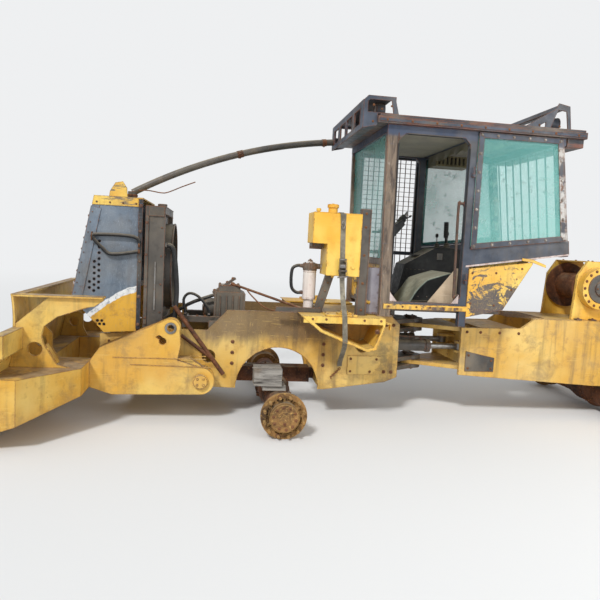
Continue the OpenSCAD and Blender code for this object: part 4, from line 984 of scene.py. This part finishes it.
def tank_details():
    welds, parts, bolts, black = batches(4)
    edges = [(-660, 1360), (-360, 1360), (-360, 1640), (-230, 1640), (-230, 1910), (-660, 1910)]
    for y in (400, 700):
        welds.seam([(x, y, z) for x, z in edges + edges[:1]], 3.5, 10)
    parts.lathe((-420, 560, 1910), UP, [(0, 60), (4, 60), (8, 55), (12, 46), (12, 42.5)], 30)
    for x, y, z in polar((-420, 560, 1975), "z", 48.5, 20):
        parts.block((x - 3, x + 3), (y - 3, y + 3), (z - 12, z + 12))
    parts.lathe((-420, 560, 1990), UP, [(-1, 47), (3, 42), (3, 12), (9, 10), (9, 0)], 28)
    # breather, level plug and drain
    parts.lathe((-300, 500, 1910), UP, [(0, 14), (18, 14), (20, 22), (40, 22), (45, 16)], 20)
    parts.lathe((-600, 700, 1440), LEFT, [(0, 22), (4, 22), (6, 15), (12, 14), (12, 0)], 20)
    parts.lathe((-450, 550, 1360), DOWN, [(0, 24), (12, 24), (14, 14), (26, 13)], 6)
    # black bracket under the tank's step, and the lamp bracket on it
    black.block((-355, -235), (470, 474.5), (1585, 1640))
    black.block((-345, -245), (474, 556), (1592, 1604))
    bolts.bolt((-330, 556, 1622), LEFT, 8)
    bolts.bolt((-260, 556, 1622), LEFT, 8)
    # post: edge lips and bolts
    for x in (-742, -660):
        black.block((x - 4, x + 6), (686, 694), (1020, 1955))
    bolts.row(grid(-700, 690, (1060, 1300, 1550, 1800, 1920)), LEFT, 9)
    welds.make("tank_welds", "tank_yellow", smooth=True)
    parts.make("tank_fittings", "tank_yellow", smooth=True)
    black.make("tank_brackets", "dark_steel", bevel=1)
    bolts.make("tank_bolts", "rusty_steel")
    # grey panel and bent yellow pipe between the post and the A pillar
    panel = Batch()
    panel.block((-885, -752), (597, 601), (1030, 1445))
    panel.block((-885, -879), (585, 601), (1030, 1445))
    panel.block((-758, -752), (585, 612), (1030, 1445))
    panel.block((-885, -752), (585, 612), (1022, 1030))
    panel.row(grid(-868, 601, (1080, 1220, 1380)), LEFT, 6)
    panel.make("pillar_panel", "pillar_grey", bevel=1)
    bent = Batch()
    bent.tube(curve([(-655, 615, 1285), (-672, 615, 1255), (-700, 612, 1200), (-735, 606, 1155),
        (-775, 603, 1128), (-800, 603, 1125)], 6), 15.5, 14)
    bent.lathe((-655, 615, 1285), (0.35, 0, 1), [(0, 15.5), (0, 20), (22, 20), (22, 10)], 16)
    bent.make("bent_pipe", "tank_yellow", smooth=True)


def filter_details():
    can, iron = batches(2)
    x, y = -255, 450
    for z in (1123, 1135, 1372, 1385):
        can.lathe((x, y, z), UP, [(-3, 60.1), (-2, 62.5), (2, 62.5), (3, 60.1)], 36)
    for spot in polar((x, y, 1400), "z", 63.5, 18):
        iron.lathe(spot, UP, [(0, 6), (44, 6)], 6)
    iron.row(polar((x, y, 1452), "z", 46, 5), UP, 8)
    iron.lathe((x, y, 1388), UP, [(0, 60.5), (0, 64.7), (64.5, 64.7), (65.2, 0)], 36)
    iron.lathe((x, y, 1470), UP, [(0, 22), (12, 22), (14, 10), (22, 9), (22, 0)], 6)
    iron.lathe((x + 66, y, 1425), AHEAD, [(-6, 22), (12, 22), (12, 18.5), (30, 18.5), (30, 15.2)], 6)
    iron.lathe((x + 62, y, 1180), AHEAD, [(-6, 20), (10, 20), (10, 17.5), (24, 17.5), (24, 15.2)], 6)
    iron.lathe((-330, y, 1425), AHEAD, [(-18, 22.2), (-18, 28), (10, 28), (10, 22.2)], 6)
    can.make("filter_bands", "filter_white", smooth=True)
    iron.make("filter_head", "dark_steel", smooth=True)
    # bolts along the yellow strut and the plate under it
    strut = Batch()
    for t in (0.12, 0.34, 0.56, 0.78):
        px, pz = -335 - 100 * t, 1010 + 350 * t
        strut.bolt((px, 535, pz), LEFT, 8)
    strut.block((-385, -285), (450, 545), (1010, 1018))
    strut.make("strut_bolts", "dark_steel")


def fender_details():
    lids, bolts, welds = batches(3)
    for s in SIDES:
        lids.tube(line((-645, s * 818, 1018), (-355, s * 818, 1018), 3), 8.5, 12)
        for x in (-620, -500, -380):
            lids.tube(line((x - 22, s * 818, 1018), (x + 22, s * 818, 1018), 2), 11.5, 12)
        lids.block((-600, -470), (s * 700, s * 780), (1024, 1040))
        lids.block((-565, -505), (s * 720, s * 760), (1040, 1056))
        for x in (-620, -380):
            for y in (672, 790):
                bolts.bolt((x, s * y, 1024), UP, 8)
        bolts.bolt((-820, s * FENDER_Y, 890), (0, s, 0), 17)
        for x, z in ((-240, 985), (-360, 985), (-700, 985), (-850, 985)):
            bolts.bolt((x, s * FENDER_Y, z), (0, s, 0), 8)
        outline = ((-140, 1010), (-320, 870), (-740, 710), (-820, 730), (-890, 940))
        welds.seam([(x, s * FENDER_Y, z) for x, z in outline], 4, 11)
        # tab behind the box
        lids.block((-965, -885), (s * 705, s * 800), (950, 960))
        lids.block((-965, -957), (s * 725, s * 775), (895, 952))
        welds.weld((-889, s * 710, 962), (-889, s * 795, 962), 5)
    lids.make("fender_lids", "yellow_paint", smooth=True, bevel=1.5)
    bolts.make("fender_bolts", "rusty_steel")
    welds.make("fender_welds", "yellow_paint", smooth=True)


def frame_details():
    bolts, welds, plates = batches(3)
    for s in SIDES:
        y = s * FRAME_Y
        # weld round the axle arch
        welds.seam(list(polar((0, y, 270), "y", 390, 80))[:41], 5, 10)
        # bolts of the cross members
        bolts.row(grid((425, -425), y, (500, 600, 700)), (0, s, 0), 13)
        bolts.row(grid((-1020, -1090), y, (450, 900)), (0, s, 0), 13)
        plates.plate([(-660, 420), (-900, 420), (-980, 520), (-980, 600), (-660, 600)], y, y + s * 10)
        for x, z in ((-690, 450), (-690, 570), (-940, 570), (-880, 450)):
            bolts.bolt((x, y + s * 10, z), (0, s, 0), 9)
        plates.plate([(1280, 560), (1550, 560), (1550, 700), (1300, 720)], y, y + s * 8)
        for x, z in ((1310, 590), (1520, 590), (1520, 680), (1330, 690)):
            bolts.bolt((x, y + s * 8, z), (0, s, 0), 9)
    # bottom guard bolts
    bolts.row(grid((620, 860, 1100, 1340), (-340, 0, 340), 270), DOWN, 12)
    bolts.make("frame_bolts", "rusty_steel")
    welds.make("frame_welds", "frame_yellow", smooth=True)
    plates.make("frame_plates", "frame_yellow", bevel=1.5)


# ---------------------------------------------------------------- hubs, blade, cab, rear

def hub_details():
    """Cover bolts, threads on the studs, and a nut left on two of them."""
    for body, x, s in (("hub_front_left", 0, 1), ("hub_front_right", 0, -1), ("hub_rear_left", REAR_X, 1),
            ("hub_rear_right", REAR_X, -1)):
        bolts, rings = batches(2)
        out, cover = (0, s, 0), (x, s * (FACE_Y + 70), HUB_Z)
        turns = [math.tau * (k + 0.5) / STUDS + (0 if s > 0 else STUD_TURN) for k in range(STUDS)]
        studs = [(x + STUD_R * math.cos(a), HUB_Z - STUD_R * math.sin(a)) for a in turns]
        bolts.row(polar(cover, "y", 94, 10, 0.25), out, 9.5)
        bolts.lathe((x, cover[1], HUB_Z - 45), out, [(0, 16), (10, 16), (12, 13)], 6)
        for sx, sz in studs:
            for turn in range(10):
                rings.lathe((sx, s * (FACE_Y + 6 + 4.5 * turn), sz), out,
                    [(0, 10.8), (1.4, 12.4), (2.8, 10.8)], 10)
        rings.lathe(cover, out, [(-14.5, 124), (-12.5, 126.2), (-16, 126.2), (-18.5, 124.2)], 40, ring=True)
        rings.lathe(cover, out, [(0, 60), (4, 58), (4, 30), (9, 28), (9, 0)], 36)
        for k in (2, 9):
            sx, sz = studs[k]
            bolts.lathe((sx, s * (FACE_Y + 2), sz), out, [(0, 21), (3, 21), (3, 18.5), (19, 18.5),
                (21, 15.5)], 6, 0.3 * k)
        bolts.make(body + "_bolts", "rusty_steel", body)
        rings.make(body + "_threads", "hub_iron", body, True)


def axle_details():
    for body, x in (("front_axle", 0), ("rear", REAR_X)):
        bolts, welds = batches(2)
        for s in SIDES:
            for k, spot in enumerate(polar((x, s * 262, HUB_Z), "y", 136, 14)):
                bolts.lathe(spot, (0, s, 0), [(0, 10), (12, 10), (14, 8)], 6, math.tau * k / 14)
            ring = list(polar((x, s * 462, HUB_Z), "y", 105, 36))
            welds.seam(ring + ring[:1], 5)
            # breather and grease point
            bolts.lathe((x + 20, s * 600, 299), UP, [(0, 12), (12, 12), (14, 6), (24, 6)], 8)
        # carrier flange round the bowl
        for k in range(16):
            a = math.tau * k / 16
            bolts.lathe((x + 145, 115 * math.cos(a), HUB_Z + 115 * math.sin(a) * 0.9), AHEAD,
                [(-20, 9), (4, 9), (6, 7)], 6, a)
        bolts.make(body + "_axle_bolts", "rusty_steel", body)
        welds.make(body + "_axle_welds", "rusty_steel", body, True)


def blade_details():
    bolts, welds, bright = batches(3)
    for k in range(13):
        y = -1380 + 2760 * k / 12
        bolts.lathe((2448, y, 110), (0.53, 0, 0.848), [(-12, 17), (6, 17), (10, 12)], 16)
    for s in SIDES:
        for side in (976, 1000):
            yy = s * side
            welds.weld((1840, yy, 540.5), (2160, yy, 540.5), 6)
            welds.weld((1500, yy, 1103.5), (1880, yy, 1103.5), 5)
            welds.weld((2168, yy, 850), (2190, yy, 600), 6)
        for side in (596, 620):
            welds.weld((1905, s * side, 540.5), (2160, s * side, 540.5), 6)
        for y in (555, 685):
            e = 1 if y > 600 else -1
            welds.weld((660, s * (y + e), 575), (1450, s * (y + e), 575), 6)
            welds.weld((1641, s * (y + e), 320), (1641, s * (y + e), 540), 7)
        # bosses round the lift eye, and the arm pin's cap
        bright.lathe((970, s * 685.5, 840), (0, s, 0), [(-1, 30.5), (-1, 52), (7, 50), (8, 30.5)], 36,
            ring=True)
        bolts.lathe((700, s * 710, 380), (0, s, 0), [(0, 62), (12, 58), (12, 0)], 28)
        bolts.row(polar((700, s * 722, 380), "y", 38, 4, 0.5), (0, s, 0), 8)
        # flange line along the push arm's box
        welds.plate([(600, 498), (600, 506), (1300, 520), (1300, 512)], s * 685, s * 690)
        # rails: end weld and gussets
        welds.weld((2086, s * 1001, 700), (2086, s * 1001, 855), 5)
        for y in (1120, 1300, 1435):
            welds.plate([(2100, 689.5), (2175, 689.5), (2195, 600), (2185, 600)], s * y - 6, s * y + 6)
    bolts.make("blade_bolts", "blade_yellow", "blade", True)
    bright.make("lift_eye_rings", "rod_steel", "blade", True)
    welds.make("blade_welds", "blade_yellow", "blade", True)


def cab_details():
    bolts, dark, trim, yellow, bright = batches(5)
    for s in SIDES:
        y = s * CAB_Y
        for x, z in ((-1720, 1440), (-1950, 1450), (-2200, 1500), (-1720, 1160), (-1950, 1150),
                (-2110, 1300)):
            bolts.bolt((x, y, z), (0, s, 0), 8)
        for k in range(6):
            bolts.bolt((-950 - 130 * k, y, 1108), (0, s, 0), 7)
        for a, b in (((-962, 1240), (-945, 2550)), ((-1608, 1240), (-1608, 2550)),
                ((-1030, 2636), (-1530, 2636))):
            trim.tube(line((a[0], s * 703, a[1]), (b[0], s * 703, b[1]), 12), 7.5, 8)
        # lamp tab on the lower panel's rear edge
        yellow.plate([(-2190, 1575), (-2190, 1600), (-2300, 1590), (-2430, 1545), (-2430, 1520),
            (-2300, 1560)], s * 708.5, s * 712.5)
        # pale lip under the ledge, grey corner gusset plates
        bright.plate([(-1652, 1489), (-2655, 1644.5), (-2655, 1660), (-1652, 1506)], s * 700, s * 703.5)
        for x0, x1 in ((-955, -1025), (-1605, -1535)):
            bright.plate([(x0, 1152), (x1, 1152), (x0, 1235)], s * 700, s * 703)
        # roof edge band and its bolts
        dark.block((-2700, -750), (s * 740, s * 746), (2722, 2752))
        for k in range(9):
            bolts.bolt((-2620 + 225 * k, s * 746, 2737), (0, s, 0), 8)
        # base plate bolts of the A posts
        bolts.row(grid((-965, -875), s * 660, 1024), UP, 9)
    # grab rail brackets
    for z in (1215, 2060):
        dark.block((-1615, -1595), (665, 695), (z - 22, z + 22))
    # front guard: edge strips round the windows, bolts to the roof
    for s in SIDES:
        for c in (150, 475):
            y0, y1 = s * c - 110, s * c + 110
            for a, b in ((y0 - 12, y0), (y1, y1 + 12)):
                dark.block((-610, -607), (a, b), (2700, 2850))
            dark.block((-610, -607), (y0, y1), (2840, 2850))
        bolts.row(grid(-700, s * 704, (2720, 2860)), (0, s, 0), 8)
        for x in (-775, -860):
            bolts.bolt((x, s * 704, 2830 if x > -800 else 2860), (0, s, 0), 7)
        bolts.row(grid((-2300, -2500), s * 612, 2830), (0, s, 0), 8)
    # bolts down the windshield's sides
    for s in SIDES:
        for k in range(7):
            z = 1600 + 160 * k
            bolts.bolt((-893 + 0.0235 * (z - 1532), s * 622, z), AHEAD, 7)
    # lamps: rims and lenses
    for s in SIDES:
        for x, z in ((-780, 2872), (-2560, 2880)):
            axis = AHEAD if x > -1000 else BACK
            dark.lathe((x, s * LAMP_Y, z), axis, [(-4, 59.5), (-4, 64), (6, 64), (6, 52), (-1, 52)], 30,
                ring=True)
            bright.lathe((x, s * LAMP_Y, z), axis, [(0, 52), (3, 40), (4, 0)], 30)
    bolts.make("cab_bolts", "rusty_steel")
    dark.make("cab_strips", "cab_black", bevel=1.5)
    trim.make("door_seal", "rubber", smooth=True)
    yellow.make("cab_tabs", "yellow_paint")
    bright.make("cab_lips", "pale_trim")


def cab_inside():
    trim, bright, black = batches(3)
    # side console: raised lids, levers with boots and grips
    trim.block((-1620, -1500), (-500, -300), (1560, 1578))
    trim.block((-1980, -1740), (-530, -270), (1650, 1662))
    for x, y, top in ((-1860, -330, 1660), (-1920, -450, 1660), (-1800, -450, 1655)):
        black.lathe((x, y, top), UP, [(0, 34), (10, 36), (18, 26), (26, 30), (34, 20), (42, 23), (52, 13),
            (60, 9)], 20)
    for x, y, top, tall in ((-1920, -450, 1660, 140), (-1800, -450, 1655, 120)):
        bright.lathe((x, y, top), (0.05, 0.02, 1), [(0, 5), (tall, 5)], 8)
        black.lathe((x + 0.05 * tall, y + 0.02 * tall, top + tall), (0.05, 0.02, 1),
            [(-4, 6), (0, 14), (18, 18), (34, 15), (42, 4)], 16)
    for t in range(6):
        black.lathe((-1849.5 + 0.7 * t, -330, 1785 + 24 * t), UP,
            [(0, 23.5), (4, 26.2), (10, 26.2), (14, 23.5)], 18)
    for k in range(5):
        trim.block((-1600 + 45 * k, -1575 + 45 * k), (-238, -232), (1200, 1420))
        bright.bolt((-1450 - 100 * k, -239, 1130), LEFT, 6)
    # steering column: clamp, turn signal stalk, bare splined end
    bright.lathe((-1270, 0, 1960), (-0.54, 0, 0.84), [(0, 20), (6, 20), (8, 13), (45, 13), (47, 9)], 20)
    black.lathe((-1243, 0, 1918), (-0.54, 0, 0.84), [(-30, 30.5), (-30, 38), (20, 38), (20, 30.5)], 24)
    black.tube(curve([(-1235, 34, 1910), (-1250, 90, 1925), (-1270, 155, 1945)], 5), 5.5, 8)
    black.lathe((-1270, 150, 1944), (-0.1, 0.95, 0.3), [(0, 5.5), (4, 10), (35, 9), (40, 4)], 12)
    for s in SIDES:
        bright.block((-1100, -990), (s * 160 - 30, s * 160 + 30), (1112, 1120))
        bright.tube([(-1045, s * 160, 1090), (-1045, s * 160, 1115)], 10, 8)
    # dash top, gauges on it
    trim.block((-1100, -955), (-62, 62), (1775, 1795))
    for y in (-35, 35):
        bright.lathe((-1030, y, 1795), (-0.4, 0, 1), [(2, 26), (8, 26), (8, 21), (4, 0)], 22)
    # a latch by the console, and a tan board on the floor
    bright.block((-1790, -1730), (-238, -232), (1530, 1600))
    board = Batch()
    board.plate([(-1310, 1104), (-1620, 1104), (-1620, 1470), (-1600, 1475)], 602, 614)
    board.make("loose_board", "board_tan", bevel=2)
    # wires under the dash
    for k in range(4):
        y = -40 + 25 * k
        black.tube(curve([(-965, y, 1500), (-990, y + 10, 1400 - 20 * k), (-975, y + 15, 1280),
            (-962, y, 1180)], 5), 4.5, 6)
    trim.make("console_lids", "cab_trim", bevel=3)
    bright.make("cab_fittings", "rod_steel", smooth=True)
    black.make("cab_levers", "cab_trim", smooth=True)
    # torn lower edge of the lining
    cols, rows, verts = 90, 7, []
    length, drop = 1260, 75
    for j in range(rows):
        for i in range(cols):
            u, v = i / (cols - 1), j / (rows - 1)
            wave = 0.5 + 0.5 * math.sin(u * 23 + math.sin(u * 9) * 1.7)
            fall = drop * v * (0.62 + 0.38 * wave)
            verts.append(P(*metres((-1698 + 10 * v * math.sin(u * 31), -630 + length * u, 2648 - fall))))
    flap = skin("lining_edge", verts, quads(rows, cols), "headliner", even=False)
    flap.data.shade_smooth()


def mat_sheet():
    """The thick floor mat: one piece laid flat, the other folded up against the console."""
    profile = [(-1140, 1096.5), (-1300, 1096.5), (-1460, 1096.5), (-1585, 1096.5)]
    cols, thick = 46, 10
    lean = [(-1150, 1108), (-1165, 1128), (-1205, 1190), (-1262, 1272), (-1318, 1338), (-1350, 1356),
        (-1410, 1378), (-1490, 1404), (-1557, 1424)]

    def sheet(points, y0, y1, ripple, name):
        path = curve([(x, 0, z) for x, z in points], 5)
        n = len(path)
        verts, faces = [], []
        for side in (1, -1):
            for i, p in enumerate(path):
                t = (path[min(i + 1, n - 1)] - path[max(i - 1, 0)]).normalized()
                out = Vector((t.z, 0, -t.x))
                if out.z < 0:
                    out = -out
                for k in range(cols):
                    v = k / (cols - 1)
                    swell = math.sin(math.pi * min(1, i / n * 1.6)) ** 2
                    wave = ripple * math.sin(v * 9.5 + i * 0.35) * swell
                    q = p + out * (side * thick / 2 + wave)
                    verts.append(P(*metres((q.x, y0 + (y1 - y0) * v, q.z))))
        m = n * cols
        for face in quads(n, cols):
            faces += [face, (m + face[0], m + face[3], m + face[2], m + face[1])]
        rim = [k for k in range(cols)] + [i * cols + cols - 1 for i in range(1, n)] + \
              [(n - 1) * cols + k for k in range(cols - 2, -1, -1)] + [i * cols for i in range(n - 2, 0, -1)]
        for j, a in enumerate(rim):
            b = rim[(j + 1) % len(rim)]
            faces.append((a, m + a, m + b, b))
        piece = skin(name, verts, faces, "mat")
        piece.data.shade_smooth()
        length = sum((b - a).length for a, b in zip(path, path[1:]))
        return piece, length

    low, low_len = sheet(profile, 65, 625, 0, "mat_flat")
    up, up_len = sheet(lean, 105, 605, 6, "mat_fold")
    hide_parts("floor_mat")


def rear_details():
    bolts, welds, iron = batches(3)
    wx, wz = WINCH
    # winch: gear cover, feet and top plate
    bolts.row(polar((wx, 382, wz), "y", 185, 16), LEFT, 11)
    iron.lathe((wx, 382, wz), LEFT, [(0, 150), (8, 146), (10, 85), (26, 80), (30, 60), (30, 0)], 40)
    for cover, bearing in zip(polar((wx, 412, wz), "y", 68, 6), polar((wx, -292, wz), "y", 30, 6)):
        bolts.bolt(cover, LEFT, 9, False)
        bolts.bolt(bearing, (0, -1, 0), 8, False)
    for s in SIDES:
        for x in (-3500, -3360, -3220, -3060):
            iron.block((x - 30, x + 30), (s * 292, s * 345), (DECK_Z, 1014))
            bolts.bolt((x, s * 320, 1014), UP, 11)
        bolts.row(grid((-3500, -3350, -3200), s * 260, 1600), UP, 9)
        welds.weld((-3530, s * 292.5, 1002), (-3000, s * 292.5, 1002), 6)
        # arch: foot welds, head gussets, lead roller brackets
        welds.weld((-3730, s * 380.5, 1002), (-4160, s * 380.5, 1002), 8)
        welds.weld((-3935, s * 339, 2168), (-4235, s * 339, 2168), 6)
        iron.plate([(-4100, 1710), (-4240, 1710), (-4240, 1690), (-4180, 1600)], s * 339, s * 331)
        for z in (1742, 2172):
            iron.lathe((ROLLER_X, s * 200, z if z > 2000 else 1741), UP, [(-2, 32), (2, 32)], 6)
        bolts.lathe((ROLLER_X, s * 200, 2200), UP, [(0, 26), (14, 26), (16, 20)], 6)
        bolts.lathe((-4010, s * REAR_Y, 1780), (0, s, 0), [(0, 26), (14, 26), (16, 20)], 6)
        # rear frame: cover plate and bolts
        bolts.row(grid((-1860, -2000, -2200, -2400), s * REAR_Y, 850), (0, s, 0), 11)
        iron.plate([(-1860, 460), (-2160, 460), (-2160, 600), (-1860, 660)], s * REAR_Y, s * 388)
        for x, z in ((-1890, 490), (-2130, 490), (-2130, 570), (-1890, 620)):
            bolts.bolt((x, s * 388, z), (0, s, 0), 9)
        bolts.row(grid((-3720, -3600, -3480), s * 402, 300), (0, s, 0), 14)
        bolts.row(grid(-4375, s * 470, (400, 600, 800, 950)), BACK, 14)
        welds.weld((-4375, s * 519, 310), (-4375, s * 519, 990), 6)
    # deck tread bars
    for k in range(9):
        x = -2700 + 45 * k
        iron.block((x, x + 10), (-300, 300), (DECK_Z, 1005))
    for k in range(8):
        for j in range(9):
            x, y = -4280 + 55 * k, -280 + 70 * j
            iron.plate([(x, DECK_Z), (x + 30, DECK_Z), (x + 26, 1004), (x + 4, 1004)], y - 4, y + 4)
    bolts.make("rear_bolts", "rusty_steel", "rear")
    welds.make("rear_welds", "frame_yellow", "rear", True)
    iron.make("rear_plates", "dark_steel", "rear", bevel=1)
    # drum: grooves and the cable wedge pocket
    drum = Batch()
    for k in range(24):
        drum.lathe((wx, -222 + 18.7 * k, wz), LEFT, [(0, 139.5), (4, 142.5), (10, 142.5), (14, 139.5)], 40)
    drum.block((wx + 150, wx + 200), (249.5, 253.5), (wz - 30, wz + 30))
    drum.make("drum_grooves", "rusty_steel", "drum", True)
    for name, s in (("roller_left", 1), ("roller_right", -1)):
        worn = Batch()
        for z in (1760, 2150):
            worn.lathe((ROLLER_X, s * 200, z), UP, [(-8, 54.9), (-6, 56.2), (6, 56.2), (8, 54.9)], 32)
        worn.make(name + "_rims", "rusty_steel", name, True)


def hitch_details():
    iron = Batch()
    for zc in (870, 490):
        for s in SIDES:
            z = zc + s * 75.5
            iron.lathe((HITCH_X, 0, z), (0, 0, s), [(0, 68), (6, 66), (6, 0)], 32)
            iron.row(polar((HITCH_X, 0, z + s * 6), "z", 45, 4, 0.5), (0, 0, s), 9)
    for s in SIDES:
        iron.lathe((-1050, s * STEER_Y, 750), UP, [(0, 30), (4, 30), (6, 10), (14, 6)], 16)
        iron.lathe((-1050, s * STEER_Y, 610), DOWN, [(0, 30), (4, 30), (4, 0)], 16)
    iron.make("hitch_caps", "dark_steel", smooth=True)
    for name, s in (("barrel_left", 1), ("barrel_right", -1)):
        part = Batch()
        y = s * STEER_Y
        for x, r in ((-1510, 62.5), (-1475, 54.5), (-1130, 54.5)):
            part.lathe((x, y, 680), AHEAD, [(-6, r), (-4, r + 2), (4, r + 2), (6, r)], 36, ring=True)
        for x in (-1170, -1440):
            part.lathe((x, y, 732), UP, [(0, 18), (12, 18), (14, 12), (24, 12)], 6)
        part.tube(curve([(-1170, y, 752), (-1175, y, 768), (-1200, y, 772), (-1300, y, 765), (-1420, y, 768),
            (-1440, y, 752)], 5), 7, 8)
        part.make(name + "_fittings", "dark_steel", name, True)


def timber_details():
    """Splinters on the loose timbers, and a tab for a hose beside them."""
    chips = Batch()
    for _ in range(7):
        x, y = rng.uniform(0, 200), rng.uniform(490, 660)
        chips.block((x, x + rng.uniform(30, 70)), (y, y + 6), (499.5, 503.5))
    chips.make("timber_chips", "timber", "front_axle")
    tab = Batch()
    tab.plate([(-45, 300), (-75, 300), (-75, 352), (-60, 362), (-45, 352)], 905, 915)
    tab.block((-85, -35), (880, 940), (291.5, 301.5))
    tab.make("hose_tab", "dark_steel", "front_axle", bevel=1)


def run_pieces():
    for build in (tank_strap, nose_details, riser_details, grille_details, radiator_details,
            engine_bay_details, tank_details, filter_details, fender_details, frame_details, hub_details,
            axle_details, pane_frames, blade_details, cab_details, cab_inside, mat_sheet, rear_details,
            hitch_details, timber_details):
        build()


run_pieces()
